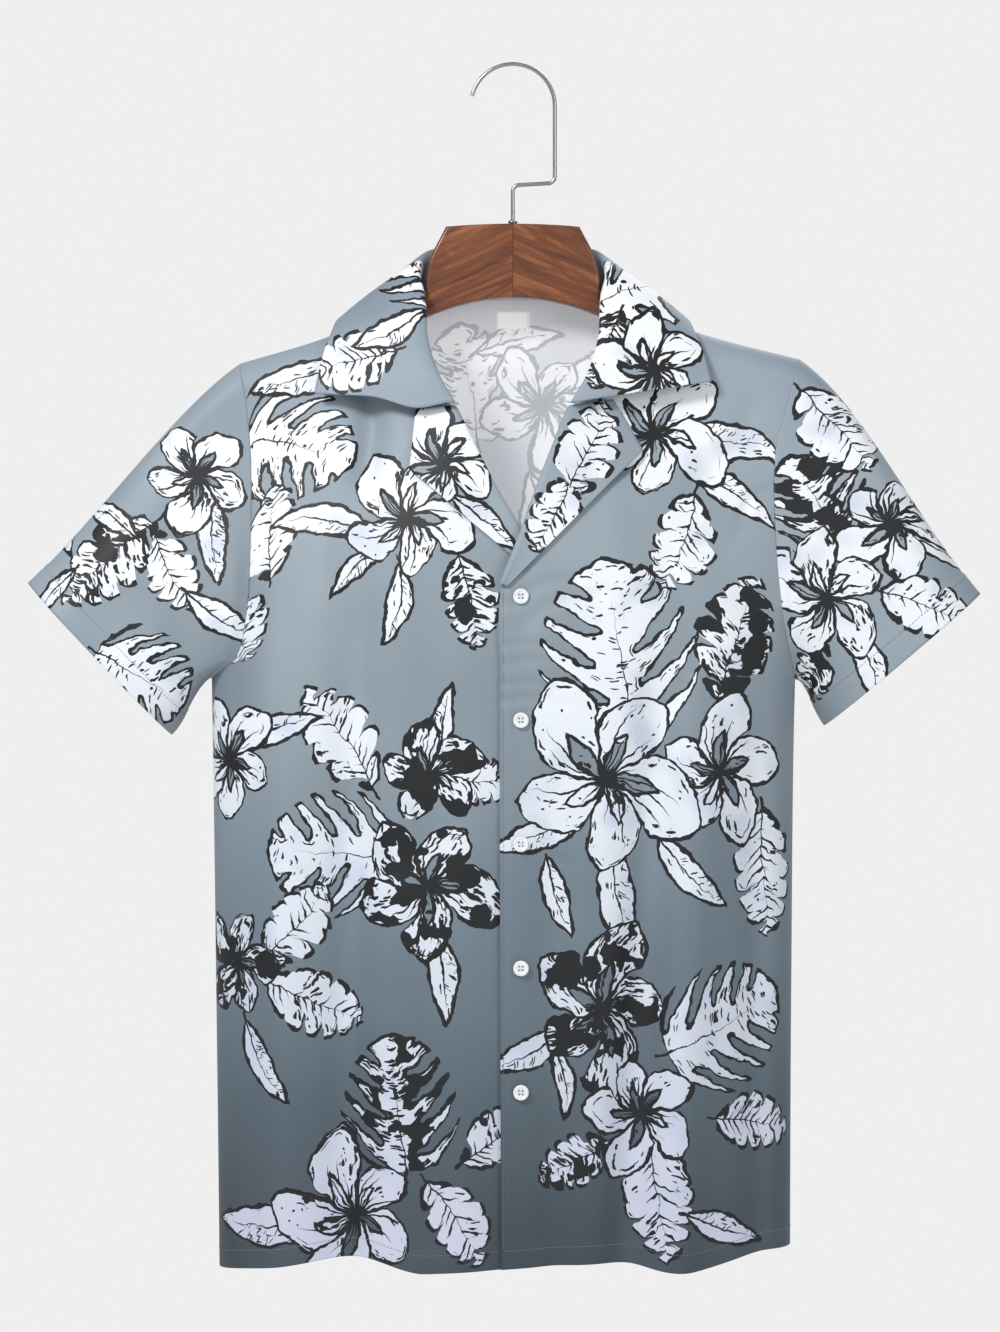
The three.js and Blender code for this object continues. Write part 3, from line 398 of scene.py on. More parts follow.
def make_sheet(name, points, slots, inside, thickness=CLOTH_THICKNESS):
    """A sheet of cloth with its corners at a grid of points. Its outer face looks away from
    the point inside, and it gets its thickness on the inner side."""
    rows, columns = points.shape[0] - 1, points.shape[1] - 1
    bm = bmesh.new()
    bmesh.ops.create_grid(bm, x_segments=columns, y_segments=rows, size=0.5)
    bm.verts.ensure_lookup_table()
    start = np.array([vert.co[:2] for vert in bm.verts])
    column = np.rint((start[:, 0] + 0.5) * columns).astype(int)
    row = np.rint((start[:, 1] + 0.5) * rows).astype(int)
    for vert, point in zip(bm.verts, points[row, column] * MM):
        vert.co = point
    bm.faces.ensure_lookup_table()
    middle = bm.faces[len(bm.faces) // 2 + columns // 2]
    bm.normal_update()
    if middle.normal.dot(middle.calc_center_median() - Vector(inside) * MM) < 0:
        bmesh.ops.reverse_faces(bm, faces=bm.faces)
    for face in bm.faces:
        face.smooth = True
    mesh = bpy.data.meshes.new(name)
    bm.to_mesh(mesh)
    bm.free()
    piece = bpy.data.objects.new(name, mesh)
    bpy.context.collection.objects.link(piece)
    for slot in slots:
        mesh.materials.append(slot)
    wall = piece.modifiers.new("wall", "SOLIDIFY")
    wall.thickness = thickness * MM
    wall.offset = -1
    wall.material_offset = 1 if len(slots) > 1 else 0
    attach(piece, "root")
    return piece, row, column


# The print: loose pen-and-wash blossoms and leaves in white with near-black ink, screen printed
# on a ground that goes from pale grey-blue at the shoulders to slate at the hem. That darkening
# towards the hem, of the ground and of the whites, is partly the dye's ombre and partly painted
# shade. Each motif is a formula in its own millimetres, so its lines keep one pen's width
# whatever its size.
def motif(name, steps):
    """A group that draws one kind of motif. It takes a place in millimetres from the motif's
    foot, with the motif's size as third number, and gives its cover and its ink as 0 or 1.
    A step is a name, an operation and its inputs, which are numbers or earlier names.
    STROKES are broken pen strokes, with the share of cells that have one and its half width.
    CLOUD is a soft patch and DICE a throw from 0 to 1. All three take a place of three inputs."""
    tree = bpy.data.node_groups.new(name, "ShaderNodeTree")
    tree.interface.new_socket("place", in_out="INPUT", socket_type="NodeSocketVector")
    tree.interface.new_socket("cover", in_out="OUTPUT", socket_type="NodeSocketFloat")
    tree.interface.new_socket("ink", in_out="OUTPUT", socket_type="NodeSocketFloat")
    place = add(tree, "NodeGroupInput").outputs["place"]
    split = add(tree, "ShaderNodeSeparateXYZ", [place])
    size = split.outputs["Z"]
    # The hand's tremor: each point is drawn up to a few millimetres from where it belongs
    wander = add(tree, "ShaderNodeTexNoise", {
        "Vector": place, "Scale": 0.07, "Detail": 2.5, "Roughness": 0.55,
    })
    shift = add(
        tree, "ShaderNodeVectorMath", [wander.outputs["Color"], (0.5, 0.5, 0.5)],
        operation="SUBTRACT",
    )
    moved = add(
        tree, "ShaderNodeVectorMath", [shift.outputs[0], (9.0, 9.0, 0.0), place],
        operation="MULTIPLY_ADD",
    )
    hand = add(tree, "ShaderNodeSeparateXYZ", [moved.outputs[0]])
    press = add(tree, "ShaderNodeTexNoise", {"Vector": place, "Scale": 0.11, "Detail": 1.0})
    tenths = add(tree, "ShaderNodeMath", [size, 10.0], operation="MULTIPLY")
    seed = add(tree, "ShaderNodeMath", [tenths.outputs[0]], operation="ROUND")
    values = {
        "X": hand.outputs["X"], "Y": hand.outputs["Y"], "size": size, "seed": seed.outputs[0],
        "press": press.outputs[0],
    }
    for step, operation, *inputs in steps:
        sockets = [values[i] if isinstance(i, str) else i for i in inputs]
        if operation not in ("STROKES", "CLOUD", "DICE"):
            values[step] = add(tree, "ShaderNodeMath", sockets, operation=operation).outputs[0]
            continue
        spot = add(tree, "ShaderNodeCombineXYZ", sockets[:3]).outputs[0]
        if operation == "DICE":
            values[step] = add(tree, "ShaderNodeTexWhiteNoise", [spot]).outputs["Value"]
        elif operation == "CLOUD":
            cloud = add(tree, "ShaderNodeTexNoise", {"Vector": spot, "Scale": 1.0, "Detail": 2.0})
            values[step] = cloud.outputs[0]
        else:
            share, width = sockets[3:]
            cell = add(tree, "ShaderNodeTexVoronoi", {"Vector": spot, "Scale": 1.0}, feature="F1")
            pick = add(tree, "ShaderNodeSeparateXYZ", [cell.outputs["Color"]]).outputs[0]
            chosen = add(tree, "ShaderNodeMath", [pick, share], operation="LESS_THAN").outputs[0]
            near = [cell.outputs["Distance"], width]
            near = add(tree, "ShaderNodeMath", near, operation="LESS_THAN").outputs[0]
            both = add(tree, "ShaderNodeMath", [chosen, near], operation="MULTIPLY")
            values[step] = both.outputs[0]
    add(tree, "NodeGroupOutput", [values["cover"], values["ink"]])
    return tree


# Half width of the pen's line in millimetres, as the hand presses
PEN = [("pen", "MULTIPLY_ADD", "press", 1.7, 0.45)]
INK_SCALE = 0.36  # of the short shading strokes


def pointed_oval(x, y, half_width, name):
    """Steps for how far inside a pointed oval a place is. All are shares of the size, and the
    oval runs from 0 to 1 along x with its half width to each side."""
    radius = (0.25 + half_width**2) / (2 * half_width)
    return [
        (name + "_y", "ABSOLUTE", y),
        (name + "_up", "ADD", name + "_y", radius - half_width),
        (name + "_up2", "MULTIPLY", name + "_up", name + "_up"),
        (name + "_x", "SUBTRACT", x, 0.5),
        (name + "_sum", "MULTIPLY_ADD", name + "_x", name + "_x", name + "_up2"),
        (name + "_root", "SQRT", name + "_sum"),
        (name, "SUBTRACT", radius, name + "_root"),
    ]


def bent_blade(dice, lean):
    """Steps that lay a leaf along x from 0 to 1, bowed to one side by its own throw of dice."""
    return [
        ("x", "DIVIDE", "X", "size"),
        ("y0", "DIVIDE", "Y", "size"),
        ("dice", "DICE", "seed", dice, 1.0),
        ("lean", "MULTIPLY_ADD", "dice", lean, -lean / 2),
        ("rest", "SUBTRACT", 1.0, "x"),
        ("arch", "MULTIPLY", "x", "rest"),
        ("y", "MULTIPLY_ADD", "arch", "lean", "y0"),
        ("ya", "ABSOLUTE", "y"),
        ("y_mm", "MULTIPLY", "y", "size"),
        ("rib_mm", "MULTIPLY", "ya", "size"),
    ]


def covered(depth):
    """Steps for the cover and the outline of a shape that a place lies this deep in."""
    return [
        ("d", "MULTIPLY", depth, "size"),
        ("cover", "GREATER_THAN", "d", 0.0),
        ("edge", "ABSOLUTE", "d"),
        ("outline", "LESS_THAN", "edge", "pen"),
    ]


def dots_and_patches(dot_scale, share, width, patch_scale):
    """Steps for loose dots, and for where the shading falls and where it is solid ink. A size
    that ends in .9 gives a dark motif, with far more of both."""
    return [
        ("dot_x", "MULTIPLY", "X", dot_scale),
        ("dot_y", "MULTIPLY", "Y", dot_scale),
        ("dots", "STROKES", "dot_x", "dot_y", "seed", share, width),
        ("patch_x", "MULTIPLY", "X", patch_scale),
        ("patch_y", "MULTIPLY", "Y", patch_scale),
        ("patch", "CLOUD", "patch_x", "patch_y", "seed"),
        ("tenth", "DIVIDE", "seed", 10.0),
        ("last_digit", "FRACT", "tenth"),
        ("dark", "GREATER_THAN", "last_digit", 0.75),
        ("patch_from", "MULTIPLY_ADD", "dark", -0.2, 0.59),
        ("patched", "GREATER_THAN", "patch", "patch_from"),
        ("solid_from", "ADD", "patch_from", 0.14),
        ("solid", "GREATER_THAN", "patch", "solid_from"),
    ]


def shading(across, along, across_scale, along_scale, seed):
    """Steps for the short strokes that fill the patches, together with the solid ink."""
    return [
        ("shade_x", "MULTIPLY", across, across_scale),
        ("shade_y", "MULTIPLY", along, along_scale),
        ("shade0", "STROKES", "shade_x", "shade_y", seed, 0.9, 0.42),
        ("shade1", "MULTIPLY", "shade0", "patched"),
        ("shade", "MAXIMUM", "shade1", "solid"),
    ]


def leaf_ink(*marks):
    """Steps for all the ink of a leaf: its marks inside, its outline and its short stalk."""
    steps = [("marks0", "MAXIMUM", marks[0], marks[1])]
    for i, mark in enumerate(marks[2:]):
        steps.append((f"marks{i + 1}", "MAXIMUM", f"marks{i}", mark))
    return steps + [
        ("ink3", "MULTIPLY", f"marks{len(marks) - 2}", "cover"),
        ("ink4", "MAXIMUM", "ink3", "outline"),
        ("blade_side", "GREATER_THAN", "x", 0.0),
        ("ink5", "MULTIPLY", "ink4", "blade_side"),
        ("stalk_x", "COMPARE", "x", -0.03, 0.06),
        ("stalk_y", "LESS_THAN", "rib_mm", 1.1),
        ("stalk", "MULTIPLY", "stalk_x", "stalk_y"),
        ("ink", "MAXIMUM", "ink5", "stalk"),
    ]


PETAL_TURN = 2 * math.pi / 5

blossom = PEN + [
    ("x", "DIVIDE", "X", "size"),
    ("y", "DIVIDE", "Y", "size"),
    ("xx", "MULTIPLY", "x", "x"),
    ("rr", "MULTIPLY_ADD", "y", "y", "xx"),
    ("r", "SQRT", "rr"),
    ("theta", "ARCTAN2", "y", "x"),
    ("twisted", "MULTIPLY_ADD", "r", 0.55, "theta"),
    ("turn", "DIVIDE", "twisted", PETAL_TURN),
    ("sector0", "ROUND", "turn"),
    ("sector", "FLOORED_MODULO", "sector0", 5.0),
    ("off", "SUBTRACT", "turn", "sector0"),
    ("angle", "MULTIPLY", "off", PETAL_TURN),
    ("dice", "DICE", "sector", "seed", 1.0),
    ("dice2", "DICE", "sector", "seed", 7.0),
    ("reach", "MULTIPLY_ADD", "dice", 0.34, 0.74),
    ("px0", "COSINE", "angle"),
    ("px1", "MULTIPLY", "px0", "r"),
    ("px", "DIVIDE", "px1", "reach"),
    ("py0", "SINE", "angle"),
    ("py1", "MULTIPLY", "py0", "r"),
    ("py", "DIVIDE", "py1", "reach"),
    # Petals are widest past their middle, and each bends its own way
    ("pxs", "POWER", "px", 1.15),
    ("rest", "SUBTRACT", 1.0, "px"),
    ("arch", "MULTIPLY", "px", "rest"),
    ("bend", "MULTIPLY_ADD", "dice2", 0.8, -0.4),
    ("bent", "MULTIPLY_ADD", "arch", "bend", "py"),
    *pointed_oval("pxs", "bent", 0.33, "petal"),
    *covered("petal"),
    # The line between two petals
    ("toside", "ABSOLUTE", "angle"),
    ("side0", "SUBTRACT", PETAL_TURN / 2, "toside"),
    ("side1", "MULTIPLY", "side0", "r"),
    ("side", "MULTIPLY", "side1", "size"),
    ("seam", "LESS_THAN", "side", "pen"),
    ("seamed", "MULTIPLY", "seam", "cover"),
    # Slivers of the ground in the throat
    ("throat_x", "MULTIPLY_ADD", "px", 2.1, -0.08),
    ("throat_y", "MULTIPLY", "bent", 2.1),
    *pointed_oval("throat_x", "throat_y", 0.17, "throat"),
    ("throat_d", "MULTIPLY", "throat", "size"),
    ("throat_mm", "MULTIPLY", "throat_d", 0.48),
    ("open0", "GREATER_THAN", "throat_mm", 0.4),
    ("open_dice", "GREATER_THAN", "dice2", 0.35),
    ("open", "MULTIPLY", "open0", "open_dice"),
    ("closed", "SUBTRACT", 1.0, "open"),
    ("throat_e", "ABSOLUTE", "throat_mm"),
    ("throat_line", "LESS_THAN", "throat_e", "pen"),
    # Veins that run out from the middle, each with its own length
    ("ray", "MULTIPLY", "angle", 5.0),
    ("ray_n", "ROUND", "ray"),
    ("ray_off", "SUBTRACT", "ray", "ray_n"),
    ("ray_abs", "ABSOLUTE", "ray_off"),
    ("ray_mm0", "MULTIPLY", "ray_abs", "r"),
    ("ray_mm1", "MULTIPLY", "ray_mm0", "size"),
    ("ray_mm", "DIVIDE", "ray_mm1", 5.0),
    ("ray_dice", "DICE", "ray_n", "sector", "seed"),
    ("ray_end", "MULTIPLY_ADD", "ray_dice", 0.75, 0.0),
    ("ray_left", "SUBTRACT", "ray_end", "r"),
    ("ray_pen", "MULTIPLY", "ray_left", 3.2),
    ("ray_cap", "MINIMUM", "ray_pen", 0.75),
    ("ray_on", "LESS_THAN", "ray_mm", "ray_cap"),
    # Strokes that follow the petal's edge, and dots
    ("along_edge", "MULTIPLY", "px", "size"),
    ("stroke_x", "MULTIPLY", "along_edge", 0.085),
    ("stroke_y", "MULTIPLY", "d", 0.34),
    ("stroke_z", "ADD", "sector", "seed"),
    ("contour0", "STROKES", "stroke_x", "stroke_y", "stroke_z", 0.55, 0.38),
    ("near_edge", "LESS_THAN", "d", 6.5),
    ("contour", "MULTIPLY", "contour0", "near_edge"),
    *dots_and_patches(0.14, 0.3, 0.13, 0.045),
    ("py_mm", "MULTIPLY", "py", "size"),
    *shading("along_edge", "py_mm", 0.085, INK_SCALE, "stroke_z"),
    ("ink0", "MAXIMUM", "ray_on", "contour"),
    ("ink1", "MAXIMUM", "ink0", "shade"),
    ("ink2", "MAXIMUM", "ink1", "dots"),
    ("ink2b", "MAXIMUM", "ink2", "throat_line"),
    ("ink3", "MULTIPLY", "ink2b", "cover"),
    ("ink4", "MAXIMUM", "ink3", "outline"),
    ("heart", "LESS_THAN", "r", 0.04),
    ("ink5", "MAXIMUM", "ink4", "seamed"),
    ("ink", "MAXIMUM", "ink5", "heart"),
    ("cover", "MULTIPLY", "cover", "closed"),
]

lance = PEN + [
    *bent_blade(3.0, 0.9),
    ("xs", "POWER", "x", 0.85),
    *pointed_oval("xs", "y", 0.15, "leaf"),
    *covered("leaf"),
    ("rib_pen", "MULTIPLY", "rest", 1.1),
    ("rib0", "LESS_THAN", "rib_mm", "rib_pen"),
    ("rib1", "LESS_THAN", "x", 0.82),
    ("rib", "MULTIPLY", "rib0", "rib1"),
    # Strokes slant from the rib on the darker side
    ("slant", "MULTIPLY_ADD", "y", -0.8, "x"),
    ("slant_mm", "MULTIPLY", "slant", "size"),
    ("hatch_x", "MULTIPLY", "slant_mm", 0.5),
    ("hatch_y", "MULTIPLY", "y_mm", 0.13),
    ("hatch0", "STROKES", "hatch_x", "hatch_y", "seed", 0.75, 0.33),
    ("darker", "GREATER_THAN", "y", 0.0),
    ("hatch1", "MULTIPLY", "hatch0", "darker"),
    ("long_x", "MULTIPLY", "X", 0.1),
    ("long_y", "MULTIPLY", "y_mm", 0.45),
    ("long", "STROKES", "long_x", "long_y", "seed", 0.34, 0.3),
    *leaf_ink("hatch1", "long", "rib"),
]

leaf = PEN + [
    *bent_blade(5.0, 0.5),
    *pointed_oval("x", "y", 0.29, "blade"),
    # Teeth: each has its own depth
    ("side", "GREATER_THAN", "y", 0.0),
    ("q0", "MULTIPLY_ADD", "ya", -0.55, "x"),
    ("q", "MULTIPLY_ADD", "side", 0.43, "q0"),
    ("qn", "MULTIPLY", "q", 5.5),
    ("cell", "FLOOR", "qn"),
    ("part", "SUBTRACT", "qn", "cell"),
    ("tooth_dice", "DICE", "cell", "side", "seed"),
    ("tooth_depth", "MULTIPLY_ADD", "tooth_dice", 0.16, 0.02),
    ("ramp", "POWER", "part", 3.5),
    ("tooth", "MULTIPLY", "ramp", "tooth_depth"),
    ("bitten", "SUBTRACT", "blade", "tooth"),
    *covered("bitten"),
    # Rib and a ladder of side veins
    ("rib_pen", "MULTIPLY_ADD", "rest", 0.9, -0.1),
    ("rib", "LESS_THAN", "rib_mm", "rib_pen"),
    ("vein_q", "MULTIPLY_ADD", "ya", -0.75, "x"),
    ("vein_n", "MULTIPLY", "vein_q", 13.0),
    ("vein_cell", "ROUND", "vein_n"),
    ("vein_off", "SUBTRACT", "vein_n", "vein_cell"),
    ("vein_abs", "ABSOLUTE", "vein_off"),
    ("vein_mm0", "MULTIPLY", "vein_abs", "size"),
    ("vein_mm", "DIVIDE", "vein_mm0", 16.0),
    ("vein_dice", "DICE", "vein_cell", "side", "seed"),
    ("vein_end", "MULTIPLY_ADD", "vein_dice", 0.22, -0.02),
    ("vein_left", "SUBTRACT", "vein_end", "ya"),
    ("vein_pen", "MULTIPLY", "vein_left", 9.0),
    ("vein_cap", "MINIMUM", "vein_pen", 0.75),
    ("vein", "LESS_THAN", "vein_mm", "vein_cap"),
    ("contour_x", "MULTIPLY", "X", 0.13),
    ("contour_y", "MULTIPLY", "d", 0.45),
    ("contour0", "STROKES", "contour_x", "contour_y", "seed", 0.4, 0.28),
    ("near_edge", "LESS_THAN", "d", 5.0),
    ("contour", "MULTIPLY", "contour0", "near_edge"),
    *dots_and_patches(0.12, 0.25, 0.13, 0.04),
    ("q_mm", "MULTIPLY", "q0", "size"),
    *shading("q_mm", "y_mm", INK_SCALE, 0.1, "seed"),
    *leaf_ink("vein", "contour", "shade", "dots", "rib"),
]

monstera = PEN + [
    *bent_blade(9.0, 0.4),
    ("xs", "POWER", "x", 0.8),
    *pointed_oval("xs", "y", 0.44, "blade"),
    ("side", "GREATER_THAN", "y", 0.0),
    ("yy", "MULTIPLY", "ya", "ya"),
    ("q0", "MULTIPLY_ADD", "ya", -0.12, "x"),
    ("q1", "MULTIPLY_ADD", "yy", -1.5, "q0"),
    ("q", "MULTIPLY_ADD", "side", 0.09, "q1"),
    ("qn", "MULTIPLY", "q", 5.2),
    ("cell", "FLOOR", "qn"),
    ("part", "SUBTRACT", "qn", "cell"),
    ("mid", "SUBTRACT", "part", 0.5),
    ("mid_abs", "ABSOLUTE", "mid"),
    ("mid_share", "DIVIDE", "mid_abs", 5.2),
    ("slot_dice", "DICE", "cell", "side", "seed"),
    ("slot_start", "MULTIPLY_ADD", "slot_dice", 0.1, 0.1),
    ("before", "SUBTRACT", "slot_start", "ya"),
    ("before0", "MAXIMUM", "before", 0.0),
    ("b2", "MULTIPLY", "before0", "before0"),
    ("m2", "MULTIPLY_ADD", "mid_share", "mid_share", "b2"),
    ("slot_r", "SQRT", "m2"),
    ("slot_grow", "MULTIPLY_ADD", "before", -0.2, 0.025),
    ("slot_w", "MAXIMUM", "slot_grow", 0.025),
    ("slot", "SUBTRACT", "slot_r", "slot_w"),
    ("shape", "SMOOTH_MIN", "blade", "slot", 0.02),
    *covered("shape"),
    ("rib_pen", "MULTIPLY_ADD", "rest", 1.0, -0.2),
    ("rib", "LESS_THAN", "rib_mm", "rib_pen"),
    ("q_mm", "MULTIPLY", "q1", "size"),
    ("vein_x", "MULTIPLY", "q_mm", 0.4),
    ("vein_y", "MULTIPLY", "y_mm", 0.09),
    ("veins", "STROKES", "vein_x", "vein_y", "seed", 0.5, 0.3),
    ("contour_x", "MULTIPLY", "y_mm", 0.12),
    ("contour_y", "MULTIPLY", "d", 0.42),
    ("contour0", "STROKES", "contour_x", "contour_y", "seed", 0.35, 0.28),
    ("near_edge", "LESS_THAN", "d", 4.5),
    ("contour", "MULTIPLY", "contour0", "near_edge"),
    *dots_and_patches(0.09, 0.3, 0.15, 0.04),
    *shading("q_mm", "y_mm", INK_SCALE, 0.1, "seed"),
    *leaf_ink("veins", "contour", "shade", "dots", "rib"),
]


blossom_group = motif("blossom", blossom)
layers = {
    "blossom_over": blossom_group,
    "blossom": blossom_group,
    "lance": motif("lance", lance),
    "leaf": motif("leaf", leaf),
    "monstera": motif("monstera", monstera),
}
# How far a motif reaches from its middle, along and across, in shares of its size
reaches = {
    "blossom_over": (1.12, 1.12), "blossom": (1.12, 1.12), "lance": (0.62, 0.32),
    "leaf": (0.62, 0.42), "monstera": (0.62, 0.6),
}
NOWHERE = (900.0, 900.0, 40.0)  # a place that no motif reaches


def print_motifs(piece, row, column, points, flats, rows):
    """Stores, for each corner of each face, its place in the motif that covers the face, one
    attribute for a kind. A row is the kind, where its middle shows from the front (-1) or from
    behind (1), its size and the direction of its tip in degrees. flats are the cloth laid out,
    in millimetres, for the motifs that are placed from each side."""
    mesh = piece.data
    corners = np.empty(len(mesh.loops), dtype=int)
    mesh.loops.foreach_get("vertex_index", corners)
    down = np.gradient(points, axis=0)
    over = np.gradient(points, axis=1)
    for kind, reach in reaches.items():
        places = np.tile(np.array(NOWHERE), (len(corners), 1))
        nearest = np.ones(len(corners) // 4)
        for motif_kind, face, x, z, size, degrees in rows:
            if motif_kind != kind:
                continue
            flat = flats[face]
            corner_flat = flat[row, column][corners]
            flat_down = np.gradient(flat, axis=0)
            flat_over = np.gradient(flat, axis=1)
            # Places are read off a picture, where what is nearer the camera looks larger
            closer = 1 + points[..., 1] * MM / -camera_place.y if face < 0 else 1
            shown_x = (points[..., 0] - camera_place.x / MM) / closer + camera_place.x / MM
            shown_z = (points[..., 2] - camera_place.z / MM) / closer + camera_place.z / MM
            # The corner that shows nearest that place, and of two such the one nearer the viewer
            cost = (shown_x - x) ** 2 + (shown_z - z) ** 2 - 4 * face * points[..., 1]
            i, j = np.unravel_index(np.argmin(cost), cost.shape)
            # The tip's direction in the picture, turned into a direction on the cloth laid out
            spread = np.array([[over[i, j, 0], down[i, j, 0]], [over[i, j, 2], down[i, j, 2]]])
            aim = (math.cos(math.radians(degrees)), math.sin(math.radians(degrees)))
            steps = np.linalg.lstsq(spread, aim, rcond=None)[0]
            tip = flat_over[i, j] * steps[0] + flat_down[i, j] * steps[1]
            tip /= np.linalg.norm(tip)
            middle = flat[i, j]
            offset = corner_flat - middle
            local = np.stack([offset @ tip, offset @ np.array([-tip[1], tip[0]])], axis=-1)
            measure = np.hypot(local[:, 0] / (reach[0] * size), local[:, 1] / (reach[1] * size))
            measure = measure.reshape(-1, 4).mean(axis=1)
            covered = measure < nearest
            nearest[covered] = measure[covered]
            if not kind.startswith("blossom"):
                local[:, 0] += size / 2
            inside = np.repeat(covered, 4)
            places[inside, :2] = local[inside]
            places[inside, 2] = size
        stored = mesh.attributes.new("print_" + kind, "FLOAT_VECTOR", "CORNER")
        stored.data.foreach_set("vector", places.ravel())


def printed(tree, ground, white, ink):
    """The colour of the ground with the motifs printed on it, blossoms uppermost."""
    shown = ground
    for kind in reversed(layers):
        place = add(tree, "ShaderNodeAttribute", attribute_name="print_" + kind)
        drawn = add(tree, "ShaderNodeGroup", node_tree=layers[kind])
        tree.links.new(place.outputs["Vector"], drawn.inputs["place"])
        for share, tone in (("cover", white), ("ink", ink)):
            layer = {0: drawn.outputs[share], 6: shown, 7: tone}
            shown = add(tree, "ShaderNodeMix", layer, data_type="RGBA").outputs[2]
    return shown


def by_height(tree, stops):
    """A colour that changes with the height: each stop is a height and an sRGB hex value."""
    low, high = stops[0][0], stops[-1][0]
    where = add(tree, "ShaderNodeTexCoord")
    split = add(tree, "ShaderNodeSeparateXYZ", [where.outputs["Object"]])
    share = add(tree, "ShaderNodeMapRange", [split.outputs["Z"], low * MM, high * MM])
    ramp = add(tree, "ShaderNodeValToRGB", [share.outputs[0]])
    while len(ramp.color_ramp.elements) < len(stops):
        ramp.color_ramp.elements.new(0.5)
    for element, (height, value) in zip(ramp.color_ramp.elements, stops):
        element.position = (height - low) / (high - low)
    for element, (height, value) in zip(ramp.color_ramp.elements, stops):
        element.color = colour(value)
    return ramp.outputs["Color"]


# Rayon challis: fine, soft and smooth, with a low sheen. The ink sits in the cloth, so it
# shines no more than the ground does. Its weave is 0.35 mm, drawn at 0.8 mm to show at all.
rayon, rayon_tree = empty_finish("printed_rayon")
# Painted shade: both ramps darken towards the hem partly for the shade lower on the cloth, and partly for
# the dyed ombre and the lavender tint of the whites.
ground = by_height(rayon_tree, [
    (-900, "374149"), (-850, "404B54"), (-775, "52606A"), (-700, "677580"), (-610, "768692"),
    (-520, "8A97A1"), (-430, "95A2AC"), (-300, "98A5AF"), (-180, "94A2AF"),
])
whites_tint_and_painted_shade = by_height(rayon_tree, [
    (-900, "CACCE0"), (-775, "CED4E3"), (-610, "DEE5EF"), (-430, "EDF2F8"), (-180, "F8FAFC"),
])
rayon_place = add(rayon_tree, "ShaderNodeTexCoord").outputs["Object"]
wash = add(rayon_tree, "ShaderNodeTexNoise", {"Vector": rayon_place, "Scale": 26.0, "Detail": 1.0})
washed = add(rayon_tree, "ShaderNodeMapRange", [wash.outputs[0], 0.52, 0.72, 0.0, 0.55])
white = add(rayon_tree, "ShaderNodeMix", {
    0: washed.outputs[0], 6: whites_tint_and_painted_shade, 7: colour("B9C4DC"),
}, data_type="RGBA")
# Painted shade: long soft dark streaks down the cloth stand in for the shade of its hanging folds, and
# also mottle the dyed ground.
streak_place = add(
    rayon_tree, "ShaderNodeVectorMath", [rayon_place, (9.0, 9.0, 3.5)], operation="MULTIPLY"
)
streaks = add(rayon_tree, "ShaderNodeTexNoise", {
    "Vector": streak_place.outputs[0], "Scale": 1.0, "Detail": 2.0,
})
mottle_and_painted_shade = add(rayon_tree, "ShaderNodeMapRange", [streaks.outputs[0], 0.42, 0.66, 0.0, 0.38])
ground = add(rayon_tree, "ShaderNodeMix", {
    0: mottle_and_painted_shade.outputs[0], 6: ground, 7: colour("566470"),
}, data_type="RGBA")
base = printed(rayon_tree, ground.outputs[2], white.outputs[2], colour("0C0F14"))
yarn = add(rayon_tree, "ShaderNodeTexNoise", {"Vector": rayon_place, "Scale": 1250.0, "Detail": 0.0})
slub = add(rayon_tree, "ShaderNodeBump", {
    "Strength": 0.25, "Distance": 0.00006, "Height": yarn.outputs[0],
})
rayon_shader = add(rayon_tree, "ShaderNodeBsdfPrincipled", {
    "Base Color": base, "Roughness": 0.56, "Sheen Weight": 0.05, "Sheen Roughness": 0.4,
    "Normal": slub.outputs[0],
})
add(rayon_tree, "ShaderNodeOutputMaterial", [rayon_shader.outputs[0]])

# Its reverse: the dye hardly strikes through, so the motifs are a faint grey ghost
reverse, reverse_tree = empty_finish("rayon_reverse")
ghost = printed(reverse_tree, colour("E2E4E8"), colour("FBFBFC"), colour("BDBFC3"))
# Painted light: the reverse glows faintly, standing in for light that comes through the thin cloth into
# the inside of the neck.
reverse_shader = add(reverse_tree, "ShaderNodeBsdfPrincipled", {
    "Base Color": ghost, "Roughness": 0.7, "Emission Color": ghost, "Emission Strength": 0.15,
})
add(reverse_tree, "ShaderNodeOutputMaterial", [reverse_shader.outputs[0]])


